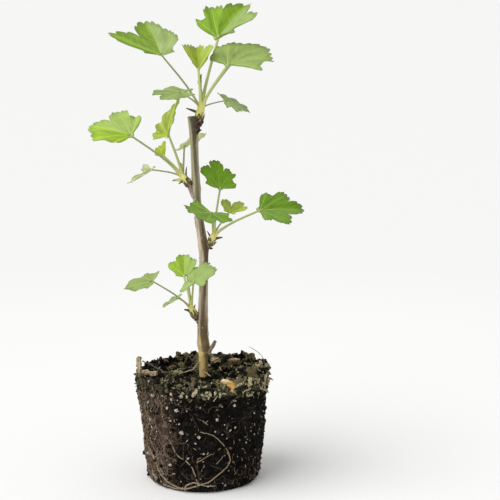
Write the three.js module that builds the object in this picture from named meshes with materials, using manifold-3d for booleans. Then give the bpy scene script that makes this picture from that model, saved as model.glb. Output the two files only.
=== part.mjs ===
// Young gooseberry bush on its bare root ball: one leaning cane, four leafy spurs and a dead stub.
// Millimetres, +Z up, X to the right, Y away from the front. The origin is at the middle of the
// ball's flat underside.
import * as THREE from 'three';
import { mergeVertices } from 'three/addons/utils/BufferGeometryUtils.js';
import Module from 'manifold-3d';

const wasm = await Module();
wasm.setup();

// ---------------------------------------------------------------- driving dimensions
const GAP = 0.3; // clearance between one solid and the next

const BALL = {
  height: 65, // soil level beside the cane
  topRadius: 42,
  lowRadius: 36, // just above the rounded bottom edge
  footRadius: 33, // flat underside
  edge: 5, // height of the rounded bottom edge
  rim: 3, // how far the rim stands above the middle of the soil
  rightRim: 3, // further rise of the rim on the right
  sides: 36,
  levels: [0, 1, 2.5, 5, 15, 27, 40, 52], // heights of the rings up the side
  shares: [0.95, 0.75, 0.5, 0.25], // of the radius, for the rings across the soil
  shoulder: 1.5, // depth of the topmost side ring below the rim
};

// The cane's middle line and radius by height, from its flat cut foot to its cut tip
const CANE = [
  { z: 62, x: 0.2, radius: 2.7 },
  { z: 70, x: 0.3, radius: 2.7 },
  { z: 80, x: 0.5, radius: 3.1 },
  { z: 86, x: 0.4, radius: 3.8 },
  { z: 93, x: 0.1, radius: 3.4 },
  { z: 108, x: 0.3, radius: 3.1 },
  { z: 120, x: 0.6, radius: 2.8 },
  { z: 140, x: 0.9, radius: 2.8 },
  { z: 148, x: 0.7, radius: 3.1 },
  { z: 160, x: -1.0, radius: 2.7 },
  { z: 177, x: -3.0, radius: 2.5 },
  { z: 184, x: -3.4, radius: 2.7 },
  { z: 202, x: -4.2, radius: 2.45 },
  { z: 218, x: -4.8, radius: 2.6 },
  { z: 229, x: -5.6, radius: 2.8 },
];
const CANE_SIDES = 12;
const CANE_STEPS = 40;

const BLADE_THICKNESS = 0.55;
const INNER_RING = 0.55; // of the blade's reach
const STALK = { root: 1.3, tip: 0.65, sides: 6, steps: 5, intoBlade: 1.5 };
const STALK_ARCH = 0.04; // rise of the stalk's middle above a straight line, as a share of its length
const SHOOT = { end: 0.9, beyondCrown: 2, straightFoot: 1, steps: 6, sides: 10 };
const BRACT = { foot: 0.45, tip: 0.25, steps: 4, sides: 5 }; // foot: share of the way up the shoot
const SPUR = { swelling: 0.2, steps: 4, sides: 10 };

// The five lobes of a blade by their angle from the middle vein: reach is that of the lobe's tip,
// and the notches beside it reach notch[0] and notch[1], all as shares of the blade's length
const LOBES = [
  { from: -112, to: -65, reach: 0.58, notch: [0.1, 0.46], teeth: 3 },
  { from: -65, to: -22, reach: 0.88, notch: [0.46, 0.58], teeth: 4 },
  { from: -22, to: 22, reach: 1, notch: [0.58, 0.58], teeth: 5 },
  { from: 22, to: 65, reach: 0.88, notch: [0.58, 0.46], teeth: 4 },
  { from: 65, to: 112, reach: 0.58, notch: [0.46, 0.1], teeth: 3 },
];
const TOOTH = 0.06; // depth of a tooth, as a share of the lobe's reach
const TOOTH_ROUNDNESS = 0.7;
const LOBE_ROUNDNESS = 0.5; // below 1 the lobe is blunt, with a narrow notch beside it
const BASE_NOTCH = 0.05; // reach of the outline behind the stalk
const BASE_ANGLE = 120; // beyond this a point belongs to the base notch
const SIDE_VEIN = 44; // angle between one main vein and the next
const PLEAT = 0.05; // how high the blade puckers between its main veins

// Each spur is a short woody bough on the cane. Its shoot carries the leaves, which fan out from
// crown. A leaf is told by its stalk (length, heading, rise) and its blade: length, heading and
// rise of the middle vein, roll about it (right side up is positive), the fold of the left and the
// right half, the droop of the lobes' tips, how far the left and right lobes have grown, how widely
// the lobes spread, and how far the lobes at the base have grown. Headings run from +X towards +Y,
// so 270 faces the front.
const SPURS = [
  {
    name: 'top',
    root: [-3.6, 0, 219],
    tip: [-0.7, 0, 228.6],
    radius: [2.7, 2.5],
    crown: [-0.3, 0, 234.2],
    shootRadius: [2.5, 2.1],
    leaves: [
      {
        stalk: [40, 166, 52], blade: [30, 108, 36], roll: 48, fold: [34, 0], droop: -0.2,
        grow: [1.3, 0.75], base: [0.35, 1],
      },
      {
        stalk: [44, 43, 71], blade: [38, 54, 36], roll: 0, fold: [28, 15], droop: 0.12,
        grow: [0.86, 0.84], spread: 0.88,
      },
      {
        stalk: [32, 334, 55], blade: [33, 40, 32], roll: -8, fold: [24, 6], droop: 0.3,
        grow: [0.8, 0.95],
      },
      {
        stalk: [24, 260, 75], blade: [21, 97, 50], roll: 2, fold: [42, 46], droop: 0.12,
        grow: [1, 0.95],
      },
      {
        stalk: [21, 231, 30], blade: [19, 198, 0], roll: 6, fold: [4, 7], droop: 0.08,
        grow: [1.25, 1.15], base: [1.2, 1.05],
      },
      {
        stalk: [16, 345, 17], blade: [18, 18, -21], roll: -12, fold: [5, 0], droop: 0.08,
        grow: [1.2, 0.75], base: [1.2, 1.1],
      },
      {
        stalk: [32, 84, 56], blade: [21, 88, 6], roll: 0, fold: [12, 12], droop: 0.15,
        grow: [1, 1],
      },
    ],
    bracts: [{ heading: 175, rise: 20, length: 9, width: 1.8 }],
  },
  {
    name: 'left',
    root: [-4.6, -0.4, 181],
    tip: [-8.9, -0.8, 189.3],
    radius: [2.6, 2.5],
    crown: [-11.5, -1, 192.1],
    shootRadius: [2.4, 2],
    leaves: [
      {
        stalk: [41, 189, 39], blade: [33, 156, 15], roll: 40, fold: [26, 10], droop: 0.2,
        grow: [0.9, 0.82], spread: 0.92, base: [0.8, 0.95],
      },
      {
        stalk: [27, 151, 68], blade: [29, 88, 48], roll: 62, fold: [18, 15], droop: 0.2,
        grow: [1.25, 1], spread: 0.8,
      },
      {
        stalk: [21, 200, 14], blade: [18, 194, -36], roll: -3, fold: [7, 5], droop: -0.12,
        grow: [1.15, 0.85], spread: 1.2, base: [1.4, 1.3],
      },
      {
        stalk: [23, 89, 44], blade: [17, 20, 36], roll: 3, fold: [5, 7], droop: 0.1,
        grow: [1.05, 0.95], spread: 1.2,
      },
      {
        stalk: [17, 180, 50], blade: [10, 140, 56], roll: -5, fold: [20, 30], droop: 0,
        grow: [1.1, 0.8],
      },
    ],
    bracts: [
      { heading: 178, rise: -5, length: 8, width: 2.4 },
      { heading: 60, rise: 80, length: 8, width: 1.2 },
    ],
  },
  {
    name: 'right',
    root: [1.2, 0, 145.5],
    tip: [5.4, 0, 150.2],
    radius: [2.8, 2.4],
    crown: [7, 0, 155.4],
    shootRadius: [2.3, 1.8],
    leaves: [
      {
        stalk: [29, 25, 81], blade: [23, 104, 52], roll: -6, fold: [20, 4], droop: 0.15,
        grow: [0.9, 0.95], spread: 0.8,
      },
      {
        stalk: [33, 352, 29], blade: [29, 11, 7], roll: -45, fold: [-15, 8], droop: 0.15,
        grow: [1.14, 0.82], spread: 0.78, base: [1.1, 0.8],
      },
      {
        stalk: [23, 267, 46], blade: [25, 254, -4], roll: 6, fold: [2, 24], droop: -0.1,
        grow: [0.8, 0.8], spread: 1.25, base: [0.7, 0.9],
      },
      {
        stalk: [18, 40, 45], blade: [15, 57, 20], roll: -15, fold: [3, 1], droop: 0.04,
        grow: [1.08, 0.92], spread: 1.05,
      },
      {
        stalk: [26, 103, 34], blade: [17, 98, 0], roll: 6, fold: [12, 12], droop: 0.15,
        grow: [1, 1],
      },
    ],
    bracts: [
      { heading: 350, rise: 12, length: 7, width: 2 },
      { heading: 170, rise: 60, length: 6, width: 1.2 },
    ],
  },
  {
    name: 'low',
    root: [-1.6, -0.4, 99.5],
    tip: [-5, -0.7, 104.4],
    radius: [2.7, 2.3],
    crown: [-6.9, -1, 109.3],
    shootRadius: [2.2, 1.7],
    leaves: [
      {
        stalk: [30, 187, 36], blade: [21, 164, -16], roll: 12, fold: [3, 4], droop: 0,
        grow: [0.85, 1], spread: 1.05, base: [0.9, 1.25],
      },
      {
        stalk: [20, 132, 70], blade: [21, 94, 40], roll: 10, fold: [20, 20], droop: 0.14,
        grow: [0.85, 0.85], spread: 0.8,
      },
      {
        stalk: [26, 277, 49], blade: [19, 54, 46], roll: 8, fold: [-15, 0], droop: 0.08,
        grow: [1.25, 1], base: [1.15, 0.85],
      },
      {
        stalk: [12, 212, 38], blade: [12, 192, -34], roll: -7, fold: [7, 5], droop: 0,
        grow: [1.2, 0.95], spread: 1.25, base: [1.35, 1],
      },
      {
        stalk: [26, 100, 32], blade: [19, 95, 0], roll: -5, fold: [12, 12], droop: 0.15,
        grow: [1, 1],
      },
    ],
    bracts: [
      { heading: 185, rise: 15, length: 6, width: 2 },
      { heading: 20, rise: 75, length: 5, width: 1.2 },
    ],
  },
];

// The dry forked stub low on the cane's right
const STUB = {
  root: [1.4, -0.6, 80],
  knee: [5.6, -1.4, 81.5],
  tip: [8.8, -2, 87.6],
  radius: [2.3, 1.9, 1],
  steps: 6,
  sides: 8,
  snag: { from: [5.4, -1.4, 80.5], to: [6.8, -1.8, 77.8], radius: [1.5, 0.9], steps: 2, sides: 6 },
};

// Roots that show on the ball's front, as (x, z) along the face and their thickness at both ends
const ROOTS = [
  { radius: [0.6, 0.8], route: [[-23, 34], [-17, 24], [-8, 16], [-4, 4]] },
  { radius: [0.5, 0.8], route: [[-2, 37], [6, 33], [14, 29], [16, 20], [14, 12], [6, 5], [-2, 2]] },
  { radius: [0.5, 0.7], route: [[-32, 36], [-33, 26], [-28, 14], [-22, 7], [-12, 2.5]] },
];
const ROOT_SIDES = 5;

// Bark chips on the soil: middle, size, and turn about the upright and lean in degrees
const CHIPS = [
  { at: [-39.5, -4, 70], size: [3.4, 5, 11], turn: 10, lean: -6 },
  { at: [-33, -12, 67.5], size: [9, 4, 3], turn: 12, lean: 10 },
  { at: [13.5, -37, 67.5], size: [8, 5, 4], turn: -20, lean: 35 },
  { at: [20, 22, 68], size: [9, 5, 3], turn: 35, lean: 12 },
];

// Crumbs of soil that stand up from the surface: place, and radius of each
const CRUMBS = [
  { at: [-14, 33, 68.5], radius: 4 },
  { at: [-19, 30, 66.5], radius: 4.5 },
  { at: [-5, 35, 68.5], radius: 3.4 },
  { at: [23, 31, 69.5], radius: 3.6 },
  { at: [30, 26, 69], radius: 4.4 },
  { at: [9, 33, 66.5], radius: 4 },
  { at: [39, 6, 70], radius: 3 },
  { at: [35, -14, 69.5], radius: 4 },
  { at: [27, -26, 68], radius: 4 },
  { at: [4, -36, 67], radius: 4 },
  { at: [-8, -38, 66.5], radius: 3.4 },
  { at: [-20, -33, 67], radius: 3.8 },
  { at: [-30, 22, 67], radius: 4 },
  { at: [-37, 10, 67], radius: 3 },
];

// ---------------------------------------------------------------- small tools
const radians = THREE.MathUtils.degToRad;
const vector = ([x, y, z]) => new THREE.Vector3(x, y, z);
const mix = THREE.MathUtils.lerp;

function direction(heading, rise) {
  const level = Math.cos(radians(rise));
  return new THREE.Vector3(
    level * Math.cos(radians(heading)), level * Math.sin(radians(heading)), Math.sin(radians(rise)));
}

function closedGeometry(points, faces) {
  const geometry = new THREE.BufferGeometry();
  const places = points.flatMap((point) => point.toArray());
  geometry.setAttribute('position', new THREE.Float32BufferAttribute(places, 3));
  geometry.setIndex(faces.flat());
  return geometry;
}

function solidOf(geometry) {
  const bare = geometry.clone();
  bare.deleteAttribute('normal');
  bare.deleteAttribute('uv');
  const welded = mergeVertices(bare, 1e-4);
  const index = welded.index.array;
  return new wasm.Manifold(new wasm.Mesh({
    numProp: 3,
    vertProperties: new Float32Array(welded.attributes.position.array),
    triVerts: new Uint32Array(index),
  }));
}

function geometryOf(solid) {
  const { vertProperties, triVerts } = solid.getMesh();
  const geometry = new THREE.BufferGeometry();
  geometry.setAttribute('position', new THREE.BufferAttribute(new Float32Array(vertProperties), 3));
  geometry.setIndex(new THREE.BufferAttribute(new Uint32Array(triVerts), 1));
  geometry.computeVertexNormals();
  return geometry;
}

const join = (solids) => solids.reduce((whole, next) => whole.add(next));

// Fills quads between rings of equal length and closes both ends with a fan
function loft(rings) {
  const sides = rings[0].length;
  const points = rings.flat();
  const faces = [];
  for (let ring = 0; ring < rings.length - 1; ring++) {
    for (let side = 0; side < sides; side++) {
      const a = ring * sides + side;
      const b = ring * sides + ((side + 1) % sides);
      faces.push([a, b, b + sides], [a, b + sides, a + sides]);
    }
  }
  for (const end of [0, rings.length - 1]) {
    const middle = points.length;
    points.push(rings[end].reduce((sum, p) => sum.add(p), new THREE.Vector3()).divideScalar(sides));
    for (let side = 0; side < sides; side++) {
      const a = end * sides + side;
      const b = end * sides + ((side + 1) % sides);
      faces.push(end === 0 ? [middle, b, a] : [middle, a, b]);
    }
  }
  return closedGeometry(points, faces);
}

// A round limb along a curve, whose radius at each share of its length is told by radiusAt
function limb(curve, radiusAt, steps, sides) {
  const rings = [];
  const first = curve.getTangentAt(0);
  let across = new THREE.Vector3(0, 1, 0).addScaledVector(first, -first.y);
  if (across.length() < 0.3) across = new THREE.Vector3(1, 0, 0).addScaledVector(first, -first.x);
  for (let step = 0; step <= steps; step++) {
    const share = step / steps;
    const middle = curve.getPointAt(share);
    const along = curve.getTangentAt(share);
    across.addScaledVector(along, -across.dot(along)).normalize();
    const other = new THREE.Vector3().crossVectors(along, across);
    const ring = [];
    for (let side = 0; side < sides; side++) {
      const angle = (2 * Math.PI * side) / sides;
      ring.push(middle.clone()
        .addScaledVector(across, radiusAt(share) * Math.cos(angle))
        .addScaledVector(other, radiusAt(share) * Math.sin(angle)));
    }
    rings.push(ring);
  }
  return solidOf(loft(rings));
}

const tapered = (radii) => (share) => {
  const place = share * (radii.length - 1);
  const index = Math.min(Math.floor(place), radii.length - 2);
  return mix(radii[index], radii[index + 1], place - index);
};

// ---------------------------------------------------------------- the cane
// The cane, or with extra the cutter that clears its neighbours: wider and longer by that much
function cane(extra = 0) {
  const foot = CANE[0];
  const tip = CANE.at(-1);
  const middles = [
    new THREE.Vector3(foot.x, 0, foot.z - extra),
    ...CANE.slice(1, -1).map(({ x, z }) => new THREE.Vector3(x, 0, z)),
    new THREE.Vector3(tip.x, 0, tip.z + extra),
  ];
  const curve = new THREE.CatmullRomCurve3(middles);
  const radiusAt = (share) => {
    const height = THREE.MathUtils.clamp(curve.getPointAt(share).z, foot.z, tip.z);
    const upper = Math.max(1, CANE.findIndex((step) => step.z >= height));
    const [below, above] = [CANE[upper - 1], CANE[upper]];
    return mix(below.radius, above.radius, THREE.MathUtils.smoothstep(height, below.z, above.z)) + extra;
  };
  return limb(curve, radiusAt, CANE_STEPS, CANE_SIDES);
}

// ---------------------------------------------------------------- one leaf
function lobeReach({ reach, notch, teeth }, share) {
  const low = mix(notch[0], notch[1], share);
  const swell = Math.cos((Math.PI / 2) * (2 * share - 1)) ** LOBE_ROUNDNESS;
  const tooth = TOOTH * reach * Math.abs(Math.sin(teeth * Math.PI * share)) ** TOOTH_ROUNDNESS;
  return low + (reach - TOOTH - low) * swell + tooth;
}

// Outline of a blade as (angle, reach) from one side of the base notch round to the other
function bladeOutline() {
  const outline = [];
  for (const lobe of LOBES) {
    const steps = 2 * lobe.teeth;
    for (let step = 0; step < steps; step++) {
      const share = step / steps;
      outline.push({ angle: mix(lobe.from, lobe.to, share), reach: lobeReach(lobe, share) });
    }
  }
  const last = LOBES.at(-1);
  outline.push({ angle: last.to, reach: last.notch[1] }, { angle: 180, reach: BASE_NOTCH });
  return outline;
}

// A point of the blade in its own axes: x to the right, y along the middle vein, z up
function bladePoint(leaf, angle, reach) {
  const side = angle > 0 ? 1 : 0;
  const sideways = Math.min(1, Math.abs(angle) / SIDE_VEIN);
  const basal = THREE.MathUtils.smoothstep(Math.abs(angle), SIDE_VEIN, 2 * SIDE_VEIN);
  const grown = mix(1, leaf.grow[side], sideways) * mix(1, leaf.base?.[side] ?? 1, basal);
  const length = leaf.blade[0] * reach * grown;
  const atBase = Math.abs(angle) > BASE_ANGLE;
  const turned = radians(atBase ? angle : angle * (leaf.spread ?? 1));
  const flat = length * Math.sin(turned);
  const fold = radians(leaf.fold[side]);
  const pucker = atBase ? 0 : PLEAT * length * Math.sin((Math.PI * angle) / SIDE_VEIN) ** 2;
  const droop = leaf.droop * length ** 2 / leaf.blade[0];
  const height = Math.abs(flat) * Math.sin(fold) + pucker - droop;
  return new THREE.Vector3(flat * Math.cos(fold), length * Math.cos(turned), height);
}

function bladeAxes({ blade: [, heading, rise], roll }) {
  const along = direction(heading, rise);
  const level = new THREE.Vector3(Math.sin(radians(heading)), -Math.cos(radians(heading)), 0);
  const lift = new THREE.Vector3().crossVectors(level, along);
  const turn = radians(roll);
  const across = level.multiplyScalar(Math.cos(turn)).addScaledVector(lift, Math.sin(turn));
  return new THREE.Matrix4().makeBasis(across, along, new THREE.Vector3().crossVectors(across, along));
}

// The blade as a thin closed solid: on each face a fan to an inner ring of every other outline
// point, then a band out to the outline, and the edge between the faces
function blade(leaf, joint) {
  const outline = bladeOutline();
  const inner = outline.filter((_, order) => order % 2 === 1);
  const points = [];
  for (const lift of [BLADE_THICKNESS / 2, -BLADE_THICKNESS / 2]) {
    const face = [
      new THREE.Vector3(),
      ...inner.map(({ angle, reach }) => bladePoint(leaf, angle, reach * INNER_RING)),
      ...outline.map(({ angle, reach }) => bladePoint(leaf, angle, reach)),
    ];
    points.push(...face.map((point) => point.add(new THREE.Vector3(0, 0, lift))));
  }
  const perFace = points.length / 2;
  const rim = 1 + inner.length;
  const top = [];
  for (let i = 0; i < inner.length; i++) {
    const j = (i + 1) % inner.length;
    const [near, tooth, next] = [2 * i + 1, (2 * i + 2) % outline.length, (2 * i + 3) % outline.length];
    top.push([0, 1 + j, 1 + i]);
    top.push([1 + i, rim + tooth, rim + near], [1 + i, 1 + j, rim + tooth]);
    top.push([1 + j, rim + next, rim + tooth]);
  }
  const bottom = top.map(([a, b, c]) => [a + perFace, c + perFace, b + perFace]);
  const edge = outline.flatMap((_, order) => {
    const a = rim + order;
    const b = rim + ((order + 1) % outline.length);
    return [[a, b, b + perFace], [a, b + perFace, a + perFace]];
  });
  const place = bladeAxes(leaf).setPosition(joint);
  points.forEach((point) => point.applyMatrix4(place));
  return solidOf(closedGeometry(points, [...top, ...bottom, ...edge]));
}

// Blade and stalk of one leaf, whose stalk starts inside the shoot
function leafSolids(leaf, crown) {
  const [length, heading, rise] = leaf.stalk;
  const joint = crown.clone().addScaledVector(direction(heading, rise), length);
  const middle = crown.clone().lerp(joint, 0.5);
  middle.z += length * STALK_ARCH;
  const [, bladeHeading, bladeRise] = leaf.blade;
  const veinWay = direction(bladeHeading, bladeRise);
  const intoBlade = joint.clone().addScaledVector(veinWay, STALK.intoBlade);
  const curve = new THREE.CatmullRomCurve3([crown, middle, joint, intoBlade]);
  const radii = [STALK.root, mix(STALK.root, STALK.tip, 0.75), STALK.tip, STALK.tip * 0.8];
  return [limb(curve, tapered(radii), STALK.steps, STALK.sides), blade(leaf, joint)];
}

// A pointed bud scale or spine at the foot of a shoot
function bract({ heading, rise, length, width }, foot) {
  const tip = foot.clone().addScaledVector(direction(heading, rise), length);
  const radii = [width / 2, width / 2, BRACT.tip];
  return limb(new THREE.LineCurve3(foot, tip), tapered(radii), BRACT.steps, BRACT.sides);
}

// ---------------------------------------------------------------- a spur and its leaves
function spur({ root, tip, radius }) {
  const curve = new THREE.LineCurve3(vector(root), vector(tip));
  const radii = [radius[0], (radius[0] + radius[1]) / 2 + SPUR.swelling, radius[1]];
  return limb(curve, tapered(radii), SPUR.steps, SPUR.sides).subtract(cane(GAP));
}

// The shoot, clear of its spur's tip, with its leaves and bud scales fused on
function leafMass({ tip, root, crown, shootRadius, leaves, bracts }) {
  const spurAxis = vector(tip).sub(vector(root)).normalize();
  const foot = vector(tip).addScaledVector(spurAxis, GAP);
  const top = vector(crown);
  const end = top.clone().addScaledVector(top.clone().sub(foot).normalize(), SHOOT.beyondCrown);
  const curve = new THREE.CatmullRomCurve3(
    [foot, foot.clone().addScaledVector(spurAxis, SHOOT.straightFoot), end]);
  const radii = [shootRadius[0], shootRadius[0], shootRadius[1], SHOOT.end];
  const bractFoot = foot.clone().lerp(top, BRACT.foot);
  return join([
    limb(curve, tapered(radii), SHOOT.steps, SHOOT.sides),
    ...leaves.flatMap((leaf) => leafSolids(leaf, top)),
    ...bracts.map((scale) => bract(scale, bractFoot)),
  ]);
}

// ---------------------------------------------------------------- the dead stub
function deadStub() {
  const { root, knee, tip, radius, steps, sides, snag } = STUB;
  const arm = new THREE.CatmullRomCurve3([vector(root), vector(knee), vector(tip)]);
  const fork = new THREE.LineCurve3(vector(snag.from), vector(snag.to));
  return join([
    limb(arm, tapered(radius), steps, sides),
    limb(fork, tapered(snag.radius), snag.steps, snag.sides),
  ]).subtract(cane(GAP));
}

// ---------------------------------------------------------------- the root ball
function sideRadius(angle, z) {
  const cone = mix(BALL.lowRadius, BALL.topRadius, z / BALL.height);
  const worn = 0.5 * Math.sin(3 * angle + z / 13) + 0.35 * Math.sin(7 * angle - z / 6) - 0.6;
  if (z >= BALL.edge) return cone + worn;
  const round = Math.sqrt(1 - (1 - z / BALL.edge) ** 2);
  return mix(BALL.footRadius, cone + worn, round);
}

function soilHeight(angle, share) {
  const rim = BALL.rim + BALL.rightRim * Math.max(0, Math.cos(angle));
  const lumps = 0.7 * Math.sin(5 * angle + 9 * share) + 0.5 * Math.sin(11 * angle - 14 * share);
  return BALL.height + rim * share ** 3 + lumps * Math.min(1, 2 * share);
}

function rootBall() {
  const rings = [];
  const ringAt = (radiusAt, heightAt) => {
    rings.push(Array.from({ length: BALL.sides }, (_, side) => {
      const angle = (2 * Math.PI * side) / BALL.sides;
      const radius = radiusAt(angle);
      return new THREE.Vector3(radius * Math.cos(angle), radius * Math.sin(angle), heightAt(angle));
    }));
  };
  for (const z of BALL.levels) ringAt((angle) => sideRadius(angle, z), () => z);
  const shoulder = (angle) => soilHeight(angle, 1) - BALL.shoulder;
  ringAt((angle) => sideRadius(angle, shoulder(angle)), shoulder);
  for (const share of BALL.shares) {
    ringAt((angle) => share * sideRadius(angle, BALL.height), (angle) => soilHeight(angle, share));
  }
  return solidOf(loft(rings));
}

function surfaceRoot({ route, radius }) {
  const onFace = route.map(([x, z]) => {
    const angle = -Math.acos(THREE.MathUtils.clamp(x / sideRadius(-Math.PI / 2, z), -1, 1));
    const out = sideRadius(angle, z);
    return new THREE.Vector3(x, -Math.sqrt(Math.max(0, out ** 2 - x ** 2)), z);
  });
  return limb(new THREE.CatmullRomCurve3(onFace), tapered(radius), 3 * route.length, ROOT_SIDES);
}

function chip({ at, size, turn, lean }) {
  const box = new THREE.BoxGeometry(...size);
  box.rotateY(radians(lean)).rotateZ(radians(turn)).translate(...at);
  return solidOf(box);
}

function crumb({ at, radius }, order) {
  const lump = new THREE.IcosahedronGeometry(radius, 0);
  lump.scale(1, 0.85, 0.8).rotateZ(order).rotateX(0.4 * order).translate(...at);
  return solidOf(lump);
}

function wholeRootBall() {
  return join([rootBall(), ...ROOTS.map(surfaceRoot), ...CHIPS.map(chip), ...CRUMBS.map(crumb)])
    .subtract(cane(GAP));
}

// ---------------------------------------------------------------- the plant
const FINISH = {
  soil: { color: 0x2c231b, roughness: 0.95, metalness: 0 },
  bark: { color: 0x8a7459, roughness: 0.8, metalness: 0 },
  knot: { color: 0x5a4030, roughness: 0.85, metalness: 0 },
  deadWood: { color: 0x7a7068, roughness: 0.9, metalness: 0 },
  leaf: { color: 0x6f9e2f, roughness: 0.5, metalness: 0 },
};

const plant = new THREE.Group();

function addPart(name, solid, finish) {
  const mesh = new THREE.Mesh(geometryOf(solid), new THREE.MeshStandardMaterial(finish));
  mesh.name = name;
  plant.add(mesh);
}

addPart('root_ball', wholeRootBall(), FINISH.soil);
addPart('cane', cane(), FINISH.bark);
addPart('dead_stub', deadStub(), FINISH.deadWood);
for (const row of SPURS) {
  addPart(`${row.name}_spur`, spur(row), FINISH.knot);
  addPart(`${row.name}_leaves`, leafMass(row), FINISH.leaf);
}

export default plant;
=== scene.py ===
"""Young gooseberry bush on its bare root ball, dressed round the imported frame.

Shapes are worked out in millimetres and made in metres. +Z is up and -Y faces the front. Headings
run from +X towards +Y, so 270 faces the front.
"""

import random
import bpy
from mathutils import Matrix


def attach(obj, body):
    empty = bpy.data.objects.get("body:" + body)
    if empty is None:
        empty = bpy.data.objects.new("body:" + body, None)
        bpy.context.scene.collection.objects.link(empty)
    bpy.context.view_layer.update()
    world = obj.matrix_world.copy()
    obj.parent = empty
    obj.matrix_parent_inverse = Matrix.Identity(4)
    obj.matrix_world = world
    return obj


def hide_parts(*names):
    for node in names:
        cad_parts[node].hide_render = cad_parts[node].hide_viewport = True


bl_info = {
    "name": "Gooseberry Bush",
    "version": (1, 0, 0),
    "blender": (4, 5, 0),
    "location": "View3D > Sidebar > Gooseberry",
    "description": "Bark, shoots, lobed leaves and rooted compost for a young gooseberry bush",
    "category": "Object",
}

from math import acos, atan2, copysign, cos, degrees, exp, pi, radians, sin, sqrt, tau
from typing import NamedTuple

import bmesh
import bpy
from bpy.props import FloatProperty, FloatVectorProperty, IntProperty, PointerProperty
from mathutils import Euler, Matrix, Vector, noise

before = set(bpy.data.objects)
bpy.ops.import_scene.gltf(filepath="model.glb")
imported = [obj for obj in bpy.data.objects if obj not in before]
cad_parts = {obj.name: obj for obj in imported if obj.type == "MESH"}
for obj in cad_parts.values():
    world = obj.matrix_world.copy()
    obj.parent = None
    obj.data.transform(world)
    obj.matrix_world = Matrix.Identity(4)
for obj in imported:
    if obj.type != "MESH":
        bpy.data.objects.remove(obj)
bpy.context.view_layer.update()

MM = 0.001
BODY = "root"

# ---------------------------------------------------------------- the cane
# Height, sideways place and radius of the cane's middle line, from its cut foot to its cut tip
CANE = (
    (62, 0.2, 2.7),
    (70, 0.3, 2.7),
    (80, 0.5, 3.1),
    (86, 0.4, 3.8),
    (93, 0.1, 3.4),
    (108, 0.3, 3.1),
    (120, 0.6, 2.8),
    (140, 0.9, 2.8),
    (148, 0.7, 3.1),
    (160, -1.0, 2.7),
    (177, -3.0, 2.5),
    (184, -3.4, 2.7),
    (202, -4.2, 2.45),
    (218, -4.8, 2.6),
    (229, -5.6, 2.8),
)
CANE_SIDES = 72
CANE_STEPS = 20  # rings between one row of CANE and the next
CUT_EDGE = 0.4  # how far below the tip the bark takes the cut's dark tone
CUT_TONE = 0.85
OLIVE_TIP = (150, 205)  # heights between which the bark turns olive
OLIVE_RISE, OLIVE_FALL = (78, 90), (96, 112)  # where a green band begins and ends
YELLOW_FOOT, YELLOW_END = (76, 84), (84, 112)  # where the foot's yellow fades, in two steps
PORE_SPAN = (67, 226)
FLAKE_SPANS = ((66, 100), (100, 215))
FLAKE_GRID = (7, 4)  # rows and columns of points
# Heights where the bark swells into a ring, with the swelling's height
BARK_RINGS = ((79.5, 0.35), (86, 0.3), (102, 0.25), (148, 0.3), (185, 0.25), (216, 0.15))
RING_WIDTH = 1.6
# The sharp groove where one year's growth ends: height, width and depth
GROOVE = (81.6, 0.35, 0.4)
# The bark's dark side, partly painted shade, by height: heading of its middle, half width in degrees, and
# strength
DARK_SIDE_AND_SHADE = (
    (62, 345, 48, 0.7),
    (76, 338, 52, 0.8),
    (86, 302, 44, 0.8),
    (93, 284, 50, 0.9),
    (113, 276, 34, 0.95),
    (128, 300, 42, 0.75),
    (141, 318, 44, 0.9),
    (151, 298, 42, 0.95),
    (170, 296, 40, 0.75),
    (186, 292, 36, 0.7),
    (200, 280, 36, 0.8),
    (214, 268, 34, 0.85),
    (224, 296, 55, 0.9),
    (229, 300, 70, 0.9),
)

# The dry forked stub low on the cane's right
STUB = {
    "arm": ((1.4, -0.6, 79.5, 1.8), (3.8, -1.2, 81.5, 1.3), (6.2, -1.7, 84.8, 0.95), (8, -2, 88.4, 0.65)),
    "snag": ((3.8, -1.3, 80.5, 1.3), (6.2, -1.8, 77.6, 0.6)),
}

# ---------------------------------------------------------------- the leaf's rule
# Notches beside a lobe, as shares of the blade's length: on a blade that is whole, and on one cut deeply
BASAL = (0.1, 0.1)
OUTER = (0.78, 0.2)
INNER = (0.95, 0.42)


class Lobe(NamedTuple):
    """One lobe of a blade: its start and end round the stalk, its reach and the notches beside it."""

    start: float
    end: float
    reach: float
    notches: tuple
    teeth: int


LOBES = (
    Lobe(-112, -65, 0.62, (BASAL, OUTER), 3),
    Lobe(-65, -22, 0.9, (OUTER, INNER), 5),
    Lobe(-22, 22, 1, (INNER, INNER), 5),
    Lobe(22, 65, 0.9, (INNER, OUTER), 5),
    Lobe(65, 112, 0.62, (OUTER, BASAL), 3),
)
TOOTH = 0.08
TOOTH_ROUNDNESS = 0.6
TOOTH_LEAN = 1.2  # above 1 the teeth lean towards the lobe's tip
BASE_NOTCH = 0.05
SIDE_VEIN = 44
TOOTH_STEPS = 8  # outline points along one tooth
NOTCH_STEPS = 4
BLADE_RINGS = 22
SPUR_SIDES = 36
STEM_SIDES = 30
STALK_SIDES = 12
BRANCH_SPACING = 0.13  # between side veins, as a share of the blade's length
BRANCH_SLANT = 1.05  # how far a side vein runs on for each step outwards
QUILT = 0.007  # how high the blade swells between side veins, as a share of its length
RUFFLE = 0.03  # how far its edge waves up and down
STALK_ARCH = 0.04
INTO_BLADE = 1.5  # how far a stalk runs on below its blade


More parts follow.
